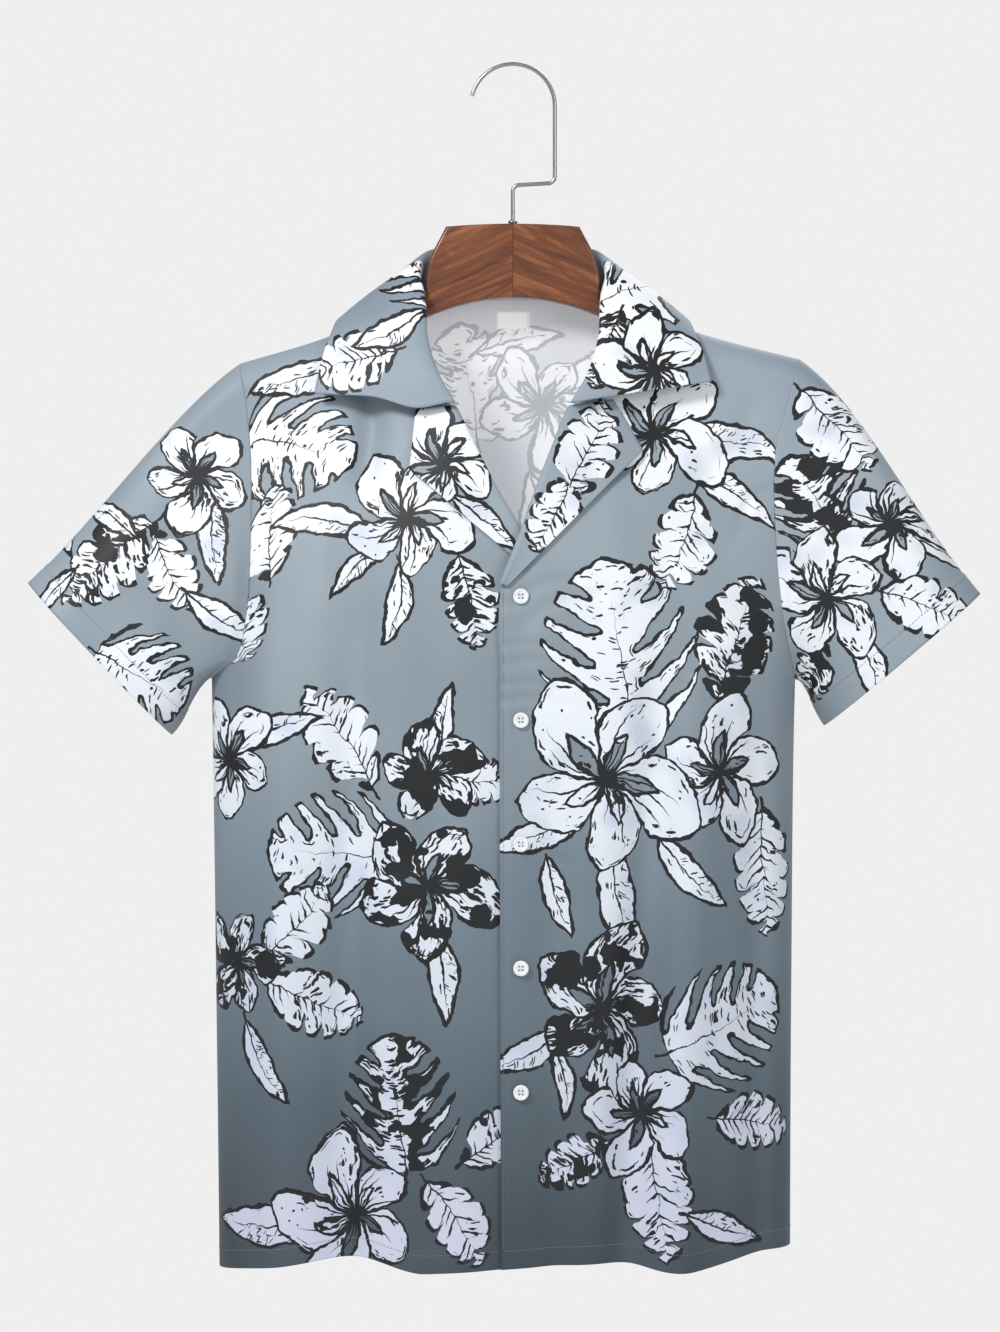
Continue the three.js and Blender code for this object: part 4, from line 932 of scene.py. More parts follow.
# Kind, seen from the front (-1) or from behind (1), where its middle shows across and up, size,
# and the direction of its tip in degrees from +X
front_motifs = {
    "right": [
        ("monstera", -1, -163, -281, 99.7, -20),
        ("leaf", -1, -184, -350, 72.0, 90),
        ("lance", -1, -160, -226, 81.4, 195),
        ("blossom_over", -1, -79, -338, 57.3, 20),
        ("lance", -1, -146, -342, 78.4, 176),
        ("lance", -1, -92, -402, 61.7, -100),
        ("leaf", -1, -34, -402, 70.9, -78),
        ("lance", -1, -118, -380, 47.9, -135),
        ("blossom", -1, -62, -532, 43.9, 50),
        ("leaf", -1, -127, -506, 91.1, 125),
        ("leaf", -1, -22, -534, 58.5, 0),
        ("lance", -1, -50, -489, 49.9, 82),
        ("monstera", -1, -133, -592, 105.6, 176),
        ("blossom", -1, -64, -616, 60.9, 10),
        ("lance", -1, -12, -626, 76.7, -6),
        ("lance", -1, -56, -684, 68.9, -84),
        ("blossom", -1, -208, -672, 48.9, 30),
        ("leaf", -1, -165, -642, 77.3, 48),
        ("leaf", -1, -146, -702, 82.2, -22),
        ("lance", -1, -188, -748, 71.0, -62),
        ("monstera", -1, -84, -778, 100.9, 96),
        ("leaf", -1, -10, -800, 67.7, 42),
        ("blossom", -1, -120, -862, 64.4, -15),
        ("lance", -1, -190, -868, 98.5, 181),
        ("leaf", -1, -44, -868, 74.5, -58),
        ("leaf", -1, -206, -428, 72.7, -78),
        ("blossom", -1, -214, -522, 52.4, 0),
        ("lance", -1, -176, -500, 63.6, 24),
    ],
    "left": [
        ("blossom", -1, 106, -276, 64.2, 15),
        ("lance", -1, 160, -282, 96.1, 2),
        ("leaf", -1, 124, -354, 81.4, -112),
        ("lance", -1, 166, -322, 73.6, -30),
        ("monstera", -1, 80, -438, 136.5, 100),
        ("leaf", -1, 172, -430, 107.9, 74),
        ("blossom_over", -1, 69, -534, 85.0, 5),
        ("blossom", -1, 157, -530, 60.6, 40),
        ("lance", -1, 20, -572, 76.0, 204),
        ("lance", -1, 86, -628, 95.6, -80),
        ("lance", -1, 135, -606, 76.7, -42),
        ("lance", -1, 36, -622, 59.9, -72),
        ("leaf", -1, 190, -604, 95.5, -86),
        ("blossom", -1, 66, -708, 67.9, 25),
        ("lance", -1, 8, -736, 68.5, 206),
        ("lance", -1, 34, -764, 52.9, -80),
        ("monstera", -1, 160, -716, 106.4, 28),
        ("blossom_over", -1, 96, -784, 51.1, 60),
        ("leaf", -1, 108, -850, 95.4, -82),
        ("leaf", -1, 44, -822, 63.9, -150),
        ("leaf", -1, 182, -794, 72.4, -12),
        ("lance", -1, 160, -872, 68.4, -20),
    ],
}
# The back is cut from the same cloth and repeats the fronts, with a spray across the shoulders
back_motifs = [
    ("blossom", 1, 26, -252, 52.4, 80),
    ("monstera", 1, -34, -236, 92.2, 100),
    ("lance", 1, 6, -206, 66.1, 12),
    ("leaf", 1, 72, -228, 76.3, 24),
    ("leaf", 1, -84, -262, 71.2, 200),
    ("lance", 1, 12, -336, 74.1, -95),
    ("lance", 1, 66, -292, 66.9, -28),
    ("lance", 1, -58, -300, 62.4, 212),
]
for name in front_motifs:
    for kind, face, x, z, size, degrees in front_motifs[name]:
        if z < -300 or abs(x) > 130:
            back_motifs.append((kind, 1, -x, z, size, 180 - degrees))
sleeve_motifs = {
    "right": [
        ("blossom", -1, -237, -306, 50.2, 70),
        ("lance", -1, -226, -352, 72.4, -84),
        ("leaf", -1, -300, -372, 92.9, 222),
        ("leaf", -1, -254, -378, 70.3, -62),
        ("lance", -1, -216, -412, 66.9, -30),
        ("monstera", -1, -276, -462, 84.3, -32),
        ("lance", -1, -306, -336, 60.1, 150),
        ("lance", -1, -346, -396, 52.4, 230),
        ("blossom", 1, -290, -382, 52.3, 40),
        ("leaf", 1, -240, -330, 78.1, 60),
        ("monstera", 1, -268, -452, 88.9, -70),
        ("lance", 1, -334, -360, 66.2, 130),
    ],
    "left": [
        ("leaf", -1, 242, -272, 86.3, -48),
        ("monstera", -1, 226, -330, 84.9, 118),
        ("blossom", -1, 283, -342, 48.2, 20),
        ("blossom_over", -1, 237, -398, 62.3, -30),
        ("leaf", -1, 312, -404, 76.4, -18),
        ("lance", -1, 262, -456, 70.2, -70),
        ("leaf", -1, 222, -458, 62.9, -110),
        ("lance", -1, 322, -362, 60.2, -28),
        ("blossom", 1, 286, -376, 56.2, 20),
        ("leaf", 1, 236, -318, 80.1, 120),
        ("monstera", 1, 262, -452, 86.9, -110),
        ("lance", 1, 330, -356, 66.2, 50),
    ],
}
collar_motifs = [
    ("leaf", -1, -122, -218, 74.2, 196),
    ("monstera", -1, -76, -150, 78.3, 140),
    ("lance", -1, -92, -196, 60.4, 206),
    ("monstera", -1, 90, -170, 98.2, 20),
    ("blossom", -1, 106, -228, 46.3, 120),
    ("leaf", -1, 70, -212, 60.9, -110),
    ("blossom", 1, -24, -164, 42.3, 20),
    ("leaf", 1, 34, -158, 70.2, -10),
    ("lance", 1, -76, -168, 66.1, 190),
    ("leaf", 1, 88, -176, 62.2, -24),
]
lapel_motifs = {
    "right": [
        ("blossom", -1, -52, -296, 46.3, 60),
        ("lance", -1, -22, -342, 60.2, -40),
    ],
    "left": [
        ("leaf", -1, 56, -286, 78.1, 66),
        ("leaf", -1, 30, -336, 62.3, -118),
    ],
}


def laid_out(points, across_from_edge):
    """The panel laid flat: across is counted along its rows from the front or middle edge, and
    up is the height."""
    step = np.hypot(*np.moveaxis(np.diff(points[..., :2], axis=1), -1, 0))
    length = np.concatenate([np.zeros((len(step), 1)), np.cumsum(step, axis=1)], axis=1)
    if across_from_edge:
        edge = points[:, -1, 0]
        outward = np.sign(points[0, 0, 0])
        across = edge[:, None] + outward * (length[:, -1:] - length)
    else:
        middle = points.shape[1] // 2
        across = points[:, middle, 0][:, None] + length - length[:, middle][:, None]
    down = np.linalg.norm(np.diff(points[..., 1:], axis=0), axis=-1)
    down = np.concatenate([np.zeros((1, down.shape[1])), np.cumsum(down, axis=0)])
    armpit = HEM_ROWS + LOWER_ROWS
    up = down - down[armpit] + points[armpit, :, 2]
    return np.stack([across, up], axis=-1)


LAP_STEP = 3.4  # how far the right front sinks to pass under the lap
LAP_STEP_NECK = 5.4
LAP_NECK_FROM_Z = -440
LAP_NECK_TO_Z = -400
LAP_RUN = 48
LAP_LEAD = 3


def lap_step(x, z):
    """How far the right front lies below the left one."""
    step = LAP_STEP + (LAP_STEP_NECK - LAP_STEP) * soft_step(z, LAP_NECK_FROM_Z, LAP_NECK_TO_Z)
    return step * soft_step(x, PLACKET_EDGE_X - LAP_RUN, PLACKET_EDGE_X - LAP_LEAD)


FRONT_COLUMNS = 110
front_places = {}
for side, name, armhole, neck, edge_x, width_column, cut_width, cut_area in [
    (-1, "right", armhole_right, neck_right, UNDERLAP_EDGE_X, 1, 0.3, 0.18),
    (1, "left", armhole_left, neck_left, PLACKET_EDGE_X, 2, 0.27, 0.165),
]:
    side_x = side * float(along(body_rows, ARMPIT_Z, width_column))
    inner_edge = [(ARMPIT_Z, edge_x), *neck]
    across, reach, above_hem = panel_places(
        FRONT_COLUMNS, hem_front, side_x, edge_x, armhole, inner_edge
    )
    points = body_point(across, reach, -1)
    points[..., 1] -= hem_relief(above_hem)
    if side < 0:
        points[..., 1] += lap_step(points[..., 0], points[..., 2])
    front_places[name] = points
    piece, row, column = make_sheet(
        f"shirt_front_{name}", points, [rayon, reverse], (side * 100, 0, -600)
    )
    flat = laid_out(points, across_from_edge=True)
    print_motifs(piece, row, column, points, {-1: flat, 1: flat}, front_motifs[name])
    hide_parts(f"front_{name}")

BACK_NECK_HALF = 74.4
BACK_NECK_Z = -171
BACK_NECK_RISE = 8.5
BACK_NECK_REACH = 140
BACK_COLUMNS = 160
across, reach, above_hem = panel_places(
    BACK_COLUMNS,
    hem_back,
    -float(along(body_rows, ARMPIT_Z, 1)),
    float(along(body_rows, ARMPIT_Z, 2)),
    armhole_right,
    armhole_left,
)
x = body_point(across, reach, 1, 0.0, creased=False)[..., 0]
neck_z = BACK_NECK_Z + BACK_NECK_RISE * (np.abs(x) / BACK_NECK_HALF) ** 3
neck_reach = body_place(x, neck_z)[1]
lowered = neck_reach + (BACK_NECK_REACH - neck_reach) * np.minimum(1, reach / BACK_NECK_REACH)
reach = np.where((np.abs(x) < BACK_NECK_HALF) & (reach < BACK_NECK_REACH), lowered, reach)
back_points = body_point(across, reach, 1)
back_points[..., 1] += hem_relief(above_hem)
back, row, column = make_sheet("shirt_back", back_points, [rayon, reverse], (0, 0, -600))
flat = laid_out(back_points, across_from_edge=False)
print_motifs(back, row, column, back_points, {-1: flat, 1: flat}, back_motifs)
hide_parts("back")


# Sleeves: short and wide, each a tube from its armhole to an oval turned hem. They hang out
# from the shoulder nearly flat, so their tops are soft folds.
CUFF_HALF_DEPTH = 37
CUFF_DEPTH = 20
SLEEVE_EASE = 0.75  # how far the sleeve keeps the direction that it leaves the armhole in
SLEEVE_COLUMNS = 180
SLEEVE_ROWS = 84
arm_rest = (0.82, -0.57)  # direction of the sleeve's top as it leaves the shoulder
under_rest = (0.9, 0.1)
# Seen from the front: outer tip across and height, inner tip across and height
cuff_right = (-363, -388, -256, -501)
cuff_left = (350, -396, 234, -494)
# Around is 0 at the top and 1 at the underarm, along is 0 at the armhole and 1 at the hem
sleeve_folds = [
    (0.86, 0.2, 0.13, 0.3, -5),
    (0.62, 0.12, 0.12, 0.25, 4),
    (0.45, 0.55, 0.1, 0.4, -3),
    (0.3, 0.9, 0.08, 0.3, 3),
]
# Shares of the armhole's length at even steps round the sleeve
armhole_shares = [
    0, 0.03, 0.065, 0.105, 0.155, 0.22, 0.31, 0.42, 0.54, 0.66, 0.76, 0.84, 0.9, 0.945, 0.977, 1,
]


def armhole_ring(rows):
    """The armhole seam as one ring, from the shoulder down the front and up the back."""
    steps = len(armhole_shares) - 1
    turn = np.linspace(0, 2, SLEEVE_COLUMNS + 1)
    share = along(list(enumerate(armhole_shares)), steps * np.abs(1 - turn))
    x, z = edge_points(rows, share)
    across, reach = body_place(x, z)
    reach = np.where(share >= 1, 0, reach)
    front = body_point(across, reach, -1, creased=False)
    back = body_point(across, reach, 1, creased=False)
    ring = np.where((turn < 1)[:, None], front, back)
    ends = (share <= 0) | (share >= 1)
    ring[ends] = (front[ends] + back[ends]) / 2
    return ring


def sleeve_points(side, cuff, ring):
    outer_x, outer_z, inner_x, inner_z = cuff
    half_width = math.hypot(outer_x - inner_x, outer_z - inner_z) / 2
    across = np.array([outer_x - inner_x, 0, outer_z - inner_z]) / (2 * half_width)
    centre = np.array([(outer_x + inner_x) / 2, 0, (outer_z + inner_z) / 2])
    out_of_cuff = np.array([side * across[2], 0, -side * across[0]])
    turn = np.linspace(0, 2 * np.pi, SLEEVE_COLUMNS + 1)[None, :]
    share = 1 - np.abs(1 - turn / np.pi)
    front = np.where(turn <= np.pi, -1, 1)
    end = centre + across * (half_width * np.cos(turn))[..., None]
    end[..., 1] = -CUFF_HALF_DEPTH * np.sin(turn)
    start = ring[None, :, :]
    length = np.linalg.norm(end - start, axis=-1)
    v = np.linspace(0, 1, SLEEVE_ROWS + 1)[:, None]
    v3 = v[..., None]
    leave = np.stack(
        [
            side * (arm_rest[0] + (under_rest[0] - arm_rest[0]) * share),
            np.zeros(share.shape),
            arm_rest[1] + (under_rest[1] - arm_rest[1]) * share,
        ],
        axis=-1,
    )
    points = (
        start * (2 * v3**3 - 3 * v3**2 + 1)
        + leave * ((v**3 - 2 * v**2 + v) * length * SLEEVE_EASE)[..., None]
        + end * (3 * v3**2 - 2 * v3**3)
        + out_of_cuff * ((v**3 - v**2) * length)[..., None]
    )
    fold = np.zeros(points.shape[:2])
    for around, down, wide, long, depth in sleeve_folds:
        fold += depth * np.exp(-(((share - around) / wide) ** 2) - ((v - down) / long) ** 2)
    taper = soft_step(v, 0, 0.15) * np.abs(np.sin(turn)) ** 0.5
    points[..., 1] += front * fold * taper
    above_cuff = (1 - v) * length
    radial = across * np.cos(turn)[..., None] + np.array([0, -1, 0]) * np.sin(turn)[..., None]
    relief = hem_relief(above_cuff * HEM_DEPTH / CUFF_DEPTH)
    return points + radial * relief[..., None]


def sleeve_flats(points):
    """The sleeve laid out from the middle of its front and of its back, each over its top."""
    steps = np.linalg.norm(np.diff(points, axis=1), axis=-1)
    length = np.concatenate([np.zeros((len(steps), 1)), np.cumsum(steps, axis=1)], axis=1)
    quarter = SLEEVE_COLUMNS // 4
    upward = points[:, 0] - points[:, 2 * quarter]
    upward = unit(upward[:, ::2])[:, None, :]
    column = np.arange(SLEEVE_COLUMNS + 1)
    all_round = length[:, -1:]
    from_front = length[:, quarter, None] - length
    from_front = np.where(column > 2 * quarter, from_front + all_round, from_front)
    from_back = length - length[:, 3 * quarter, None]
    from_back = np.where(column < 2 * quarter, from_back + all_round, from_back)
    flats = {}
    for face, middle, arc in ((-1, quarter, from_front), (1, 3 * quarter, from_back)):
        flats[face] = points[:, middle, None, ::2] + upward * arc[..., None]
    return flats


sleeve_grids = []
for side, name, cuff, armhole in [
    (1, "left", cuff_left, armhole_left),
    (-1, "right", cuff_right, armhole_right),
]:
    points = sleeve_points(side, cuff, armhole_ring(armhole))
    inside = (side * 280, 0, -370)
    sleeve_grids.append((points, inside))
    piece, row, column = make_sheet(f"sleeve_tube_{name}", points, [rayon, reverse], inside)
    print_motifs(piece, row, column, points, sleeve_flats(points), sleeve_motifs[name])
    bm = bmesh.new()
    bm.from_mesh(piece.data)
    bmesh.ops.remove_doubles(bm, verts=bm.verts, dist=0.05 * MM)
    bm.to_mesh(piece.data)
    bm.free()
    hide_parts(f"sleeve_{name}")


# Collar: one doubled piece that stands from the neck seam to a soft fold and falls flat over
# the shoulders to two points.
COLLAR_ROLL = 2.6
COLLAR_TILT = 4.4  # how much higher the left point hangs than the middle
GORGE_DIP = 6  # how far the right collar's front edge sags at the notch
DOUBLED_THICKNESS = 1.2
# Half of the collar, place 0 at the back centre to place 7 at the gorge: place, x, y, z
collar_seam = [
    (0, 0, 29, -179), (1, 36, 26, -178), (2, 62, 15, -173), (3, 72.8, 0, -168.8),
    (4, 70, -18, -184), (5, 67.5, -33, -210), (6, 59.5, -44, -235), (7, 45.5, -50, -256),
]
collar_fold = [
    (0, 0, 36, -132), (1, 35, 31, -133), (2, 62.5, 16, -138), (3, 71, -3, -153),
    (4, 66.5, -22, -176), (5, 64.5, -38, -206), (6, 56.5, -50, -233), (7, 43.8, -56, -256),
]
collar_edge = [
    (0, 0, 47, -190), (1, 48, 43, -192), (2, 96, 33, -194), (3, 126, 4, -188),
    (4, 136, -20, -204), (5, 142, -29, -221), (6, 145, -34, -234), (7, 147, -38, -243.5),
]
# Share of the fall, and how far it bulges at the back and at the front
collar_fall = [(0.25, 4.5, 3), (0.55, 4.5, 2), (0.8, 2.5, 1)]
COLLAR_SHOULDER = 3
COLLAR_END = 7


def curve_through(points, samples):
    """Centripetal curve through a list of arrays of points, at these shares of its length."""
    points = [2 * points[0] - points[1], *points, 2 * points[-1] - points[-2]]
    spans = len(points) - 3
    rows = []
    for share in samples:
        i = min(int(share * spans), spans - 1)
        t = share * spans - i
        p0, p1, p2, p3 = points[i:i + 4]
        d0, d1, d2 = [
            np.sqrt(np.linalg.norm(b - a, axis=-1, keepdims=True))
            for a, b in ((p0, p1), (p1, p2), (p2, p3))
        ]
        start = ((p1 - p0) / d0 - (p2 - p0) / (d0 + d1) + (p2 - p1) / d1) * d1
        end = ((p2 - p1) / d1 - (p3 - p1) / (d1 + d2) + (p3 - p2) / d2) * d1
        cubic = 2 * p1 - 2 * p2 + start + end
        square = -3 * p1 + 3 * p2 - 2 * start - end
        rows.append(cubic * t**3 + square * t**2 + start * t + p1)
    return np.stack(rows, axis=1)


def collar_points(stations, samples):
    place = np.linspace(-COLLAR_END, COLLAR_END, stations + 1)
    sign = np.sign(place)
    to_front = soft_step(np.abs(place), COLLAR_SHOULDER, COLLAR_END)

    def line(rows):
        whole = [(-p, -x, y, z) for p, x, y, z in rows[1:]] + rows
        return np.stack([along(whole, place, c) for c in (1, 2, 3)], axis=-1)

    seam, fold, edge = line(collar_seam), line(collar_fold), line(collar_edge)
    edge[:, 2] += sign * COLLAR_TILT * to_front
    opening = unit(unit(seam - fold) + unit(edge - fold))
    apart = edge - seam
    apart = unit(apart - opening * np.sum(apart * opening, axis=-1, keepdims=True))
    roll = np.minimum(COLLAR_ROLL, np.linalg.norm(fold - seam, axis=-1) * 0.45)[:, None]
    near = [fold + opening * roll * 0.8 + apart * way * roll for way in (-1, 1)]
    dip = np.where(sign < 0, GORGE_DIP * to_front, 0)
    fall = []
    for share, lift_back, lift_front in collar_fall:
        lift = lift_back + (lift_front - lift_back) * to_front
        point = fold + (edge - fold) * share + apart * lift[:, None]
        point[:, 2] -= dip * math.sin(math.pi * min(1, share * 1.9)) ** 2
        fall.append(point)
    points = [seam, (seam + near[0]) / 2, near[0], fold, near[1], *fall, edge]
    return curve_through(points, samples)


collar_samples = np.linspace(0, 1, 65)
collar_grid = collar_points(190, collar_samples)
collar, row, column = make_sheet(
    "shirt_collar", collar_grid, [rayon], (0, 0, 0), DOUBLED_THICKNESS
)
fold_sample = 24  # the sample on the fold line, three of the eight spans along
steps = np.linalg.norm(np.diff(collar_grid, axis=1), axis=-1)
fallen = np.concatenate([np.zeros((len(steps), 1)), np.cumsum(steps, axis=1)], axis=1)
fallen -= fallen[:, fold_sample, None]
falling = unit((collar_grid[:, -1] - collar_grid[:, fold_sample])[:, ::2])[:, None, :]
flat = collar_grid[:, fold_sample, None, ::2] + falling * fallen[..., None]
in_front = np.abs(np.linspace(-COLLAR_END, COLLAR_END, len(flat))) > COLLAR_SHOULDER - 0.4
far_away = np.array([0.0, 2000.0])
in_front = in_front[:, None, None]
flats = {-1: flat + far_away * ~in_front, 1: flat + far_away * in_front}
print_motifs(collar, row, column, collar_grid, flats, collar_motifs)
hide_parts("collar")


# Lapels: the turned-back facings of the two fronts, from the roll line to their free edges.
GORGE_Z = -258.9
LAPEL_ROLL = 2.4
LAPEL_CLEARANCE = 1.2
LAPEL_SPRING = 1.4
LAPEL_LIP = 1.4
LAPEL_TUCK = 3
LAPEL_SETBACK = 0.4
CAD_CLOTH = 1.5  # wall that the lapels' stand-off is counted in
# Notch across and height, tip across and height
lapel_left = (73.4, -252.8, 95.2, -291.7)
lapel_right = (-71.3, -260.4, -75.5, -306.4)


def raised(x, z, height):
    """Points over the front's surface, which faces -Y."""
    step = 2.0
    here, beside, below = (
        body_point(*body_place(x + dx, z + dz), -1, creased=False)
        for dx, dz in ((0, 0), (step, 0), (0, -step))
    )
    beside, below = beside - here, below - here
    normal = unit(np.cross(beside, below))
    normal = np.where(normal[..., 1:2] > 0, -normal, normal)
    return here + normal * np.asarray(height)[..., None]


def lapel_points(side, neck, corners, rows, samples):
    notch_x, notch_z, tip_x, tip_z = corners
    break_z = neck[0][0] + 4
    break_x = float(along(neck, break_z)) + side * 3
    upper_share = 1 / 3
    i = np.linspace(0, 1, rows + 1)
    roll_z = GORGE_Z + (break_z - GORGE_Z) * i**0.9
    roll_x = along(neck, roll_z)
    to_tip = np.minimum(1, i / upper_share)
    to_break = np.maximum(0, (i - upper_share) / (1 - upper_share))
    free_x = notch_x + (tip_x - notch_x) * to_tip
    free_x = free_x + (break_x - free_x) * to_break
    free_z = notch_z - 0.8 + (tip_z - notch_z + 0.8) * to_tip
    free_z = free_z + (break_z - 1 - free_z) * to_break
    spare = 1 - 0.6 * to_break

    def lift(x, share):
        under = lap_step(x, roll_z) if side < 0 else 0
        clear = 1 - soft_step(x, -40, -14) if side < 0 else 1
        roll = LAPEL_ROLL * (1 - share) ** 2
        stand = clear * spare * (roll + LAPEL_SPRING * share**2)
        return LAPEL_CLEARANCE + CAD_CLOTH - under + stand

    inner_lip = raised(roll_x, roll_z, lift(roll_x, 0) - 2 * CAD_CLOTH - LAPEL_SETBACK)
    inner_lip[:, 0] -= side * LAPEL_TUCK
    lip = raised(roll_x, roll_z, lift(roll_x, 0) - CAD_CLOTH)
    lip[:, 0] -= side * (LAPEL_LIP + CAD_CLOTH)
    points = [inner_lip, lip]
    for share in (0, 0.25, 0.5, 0.75, 1):
        start_x = roll_x - side * LAPEL_SETBACK
        x = start_x + (free_x - start_x) * share
        z = roll_z + (free_z - roll_z) * share
        points.append(raised(x, z, lift(x, share)))
    return curve_through(points, samples)


lapel_samples = np.linspace(0, 1, 49)
for side, name, neck, corners in [
    (1, "left", neck_left, lapel_left),
    (-1, "right", neck_right, lapel_right),
]:
    points = lapel_points(side, neck, corners, 72, lapel_samples)
    piece, row, column = make_sheet(
        f"shirt_lapel_{name}", points, [rayon], (side * 50, 60, -330), DOUBLED_THICKNESS
    )
    flat = points[..., ::2]
    print_motifs(piece, row, column, points, {-1: flat, 1: flat}, lapel_motifs[name])
    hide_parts(f"lapel_{name}")


# Buttons: pearly white four-hole shirt buttons with a raised rim, sewn on with a cross of thread
BUTTON_X = 5.7
TOP_BUTTON_Z = -399
BUTTON_SPACING = 90.6
BUTTON_COUNT = 5
BUTTON_RADIUS = 5.75
BUTTON_CLEARANCE = 0.9
HOLE_OFFSET = 1.7
HOLE_RADIUS = 0.8
# Radius and height of the button's section, from its middle at the back round to the front
button_profile = [
    (0, 0), (4.9, 0), (5.45, 0.25), (5.75, 0.8), (5.7, 1.4), (5.3, 1.95), (4.8, 2.15),
    (4.3, 2.1), (3.8, 1.8), (3.4, 1.5), (2.8, 1.35), (0, 1.3),
]


def turned(name, profile, steps):
    """A lathe-turned mesh: radius and height round +Z, in millimetres."""
    bm = bmesh.new()
    verts = [bm.verts.new((r * MM, 0, h * MM)) for r, h in profile]
    edges = [bm.edges.new(pair) for pair in zip(verts, verts[1:])]
    bmesh.ops.spin(
        bm, geom=verts + edges, cent=(0, 0, 0), axis=(0, 0, 1), angle=math.radians(360), steps=steps
    )
    bmesh.ops.remove_doubles(bm, verts=bm.verts, dist=0.001 * MM)
    bmesh.ops.recalc_face_normals(bm, faces=bm.faces)
    for face in bm.faces:
        face.smooth = True
    mesh = bpy.data.meshes.new(name)
    bm.to_mesh(mesh)
    bm.free()
    return mesh


def finished(piece, material, node=None):
    """Puts a piece in the scene as part of the shirt on its hanger."""
    piece.data.materials.append(material)
    bpy.context.collection.objects.link(piece)
    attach(piece, "root")
    if node:
        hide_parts(node)


# Pearl-like resin: glossy, hardly clouded, with a cool lustre
pearl, pearl_tree = empty_finish("pearly_resin")
pearl_place = add(pearl_tree, "ShaderNodeTexCoord").outputs["Object"]
pearl_cloud = add(pearl_tree, "ShaderNodeTexNoise", {
    "Vector": pearl_place, "Scale": 160.0, "Detail": 2.0,
})
pearl_tone = add(pearl_tree, "ShaderNodeMix", {
    0: pearl_cloud.outputs[0], 6: colour("DFE5EC"), 7: colour("FBFCFD"),
}, data_type="RGBA")
pearl_shader = add(pearl_tree, "ShaderNodeBsdfPrincipled", {
    "Base Color": pearl_tone.outputs[2], "Roughness": 0.22, "Coat Weight": 0.5, "Coat Roughness": 0.12,
    "Subsurface Weight": 0.15, "Subsurface Scale": 0.002,
})
add(pearl_tree, "ShaderNodeOutputMaterial", [pearl_shader.outputs[0]])

# Matt spun polyester threads: white for the buttons and the label, and slate blue for the
# seams, a little darker than the cloth so that its stitches show
white_thread, white_tree = empty_finish("white_thread")
seam_thread, seam_tree = empty_finish("seam_thread")
for thread_tree, value in ((white_tree, "E9EBEE"), (seam_tree, "76838F")):
    thread = add(thread_tree, "ShaderNodeBsdfPrincipled", {"Base Color": colour(value), "Roughness": 0.7})
    add(thread_tree, "ShaderNodeOutputMaterial", [thread.outputs[0]])

blank = bpy.data.objects.new("button_blank", turned("button_blank", button_profile, 48))
bpy.context.collection.objects.link(blank)
drills = bmesh.new()
hole_angles = [math.radians(45 + 90 * i) for i in range(4)]
for angle in hole_angles:
    spot = Vector((math.cos(angle), math.sin(angle), 0)) * HOLE_OFFSET * MM
    bmesh.ops.create_cone(
        drills, cap_ends=True, segments=16, radius1=HOLE_RADIUS * MM, radius2=HOLE_RADIUS * MM,
        depth=8 * MM, matrix=Matrix.Translation(spot),
    )
drill_mesh = bpy.data.meshes.new("drills")
drills.to_mesh(drill_mesh)
drills.free()
drill = bpy.data.objects.new("drills", drill_mesh)
bpy.context.collection.objects.link(drill)
drilling = blank.modifiers.new("drilling", "BOOLEAN")
drilling.object = drill
drilling.operation = "DIFFERENCE"
settled = bpy.context.evaluated_depsgraph_get()
drilled = bpy.data.meshes.new_from_object(blank.evaluated_get(settled))
bpy.data.objects.remove(blank)
bpy.data.objects.remove(drill)
to_front = Matrix.Rotation(math.radians(90), 4, "X")  # the button's front faces -Y
threads = bmesh.new()
for i in range(BUTTON_COUNT):
    z = TOP_BUTTON_Z - i * BUTTON_SPACING
    reach_x = np.array([BUTTON_X - BUTTON_RADIUS, BUTTON_X, BUTTON_X + BUTTON_RADIUS])
    nearest_y = float(front_at(reach_x, np.full(3, float(z)))[:, 1].min()) - BUTTON_CLEARANCE
    seat = Matrix.Translation(Vector((BUTTON_X, nearest_y, z)) * MM) @ to_front
    mesh = drilled.copy()
    mesh.transform(seat)
    button = bpy.data.objects.new(f"shirt_button_{i + 1}", mesh)
    finished(button, pearl, f"button_{i + 1}")
    # Two threads cross in the dish, and the shank holds the button off the cloth
    for angle in hole_angles[:2]:
        across = Matrix.Rotation(angle, 4, "Z") @ Matrix.Rotation(math.radians(90), 4, "Y")
        bmesh.ops.create_cone(
            threads, cap_ends=True, segments=8, radius1=0.3 * MM, radius2=0.3 * MM,
            depth=2 * HOLE_OFFSET * MM, matrix=seat @ Matrix.Translation((0, 0, 1.5 * MM)) @ across,
        )
    bmesh.ops.create_cone(
        threads, cap_ends=True, segments=10, radius1=1.1 * MM, radius2=1.1 * MM,
        depth=2.2 * MM, matrix=seat @ Matrix.Translation((0, 0, -0.6 * MM)),
    )
thread_mesh = bpy.data.meshes.new("button_threads")
threads.to_mesh(thread_mesh)
threads.free()
finished(bpy.data.objects.new("button_threads", thread_mesh), white_thread)


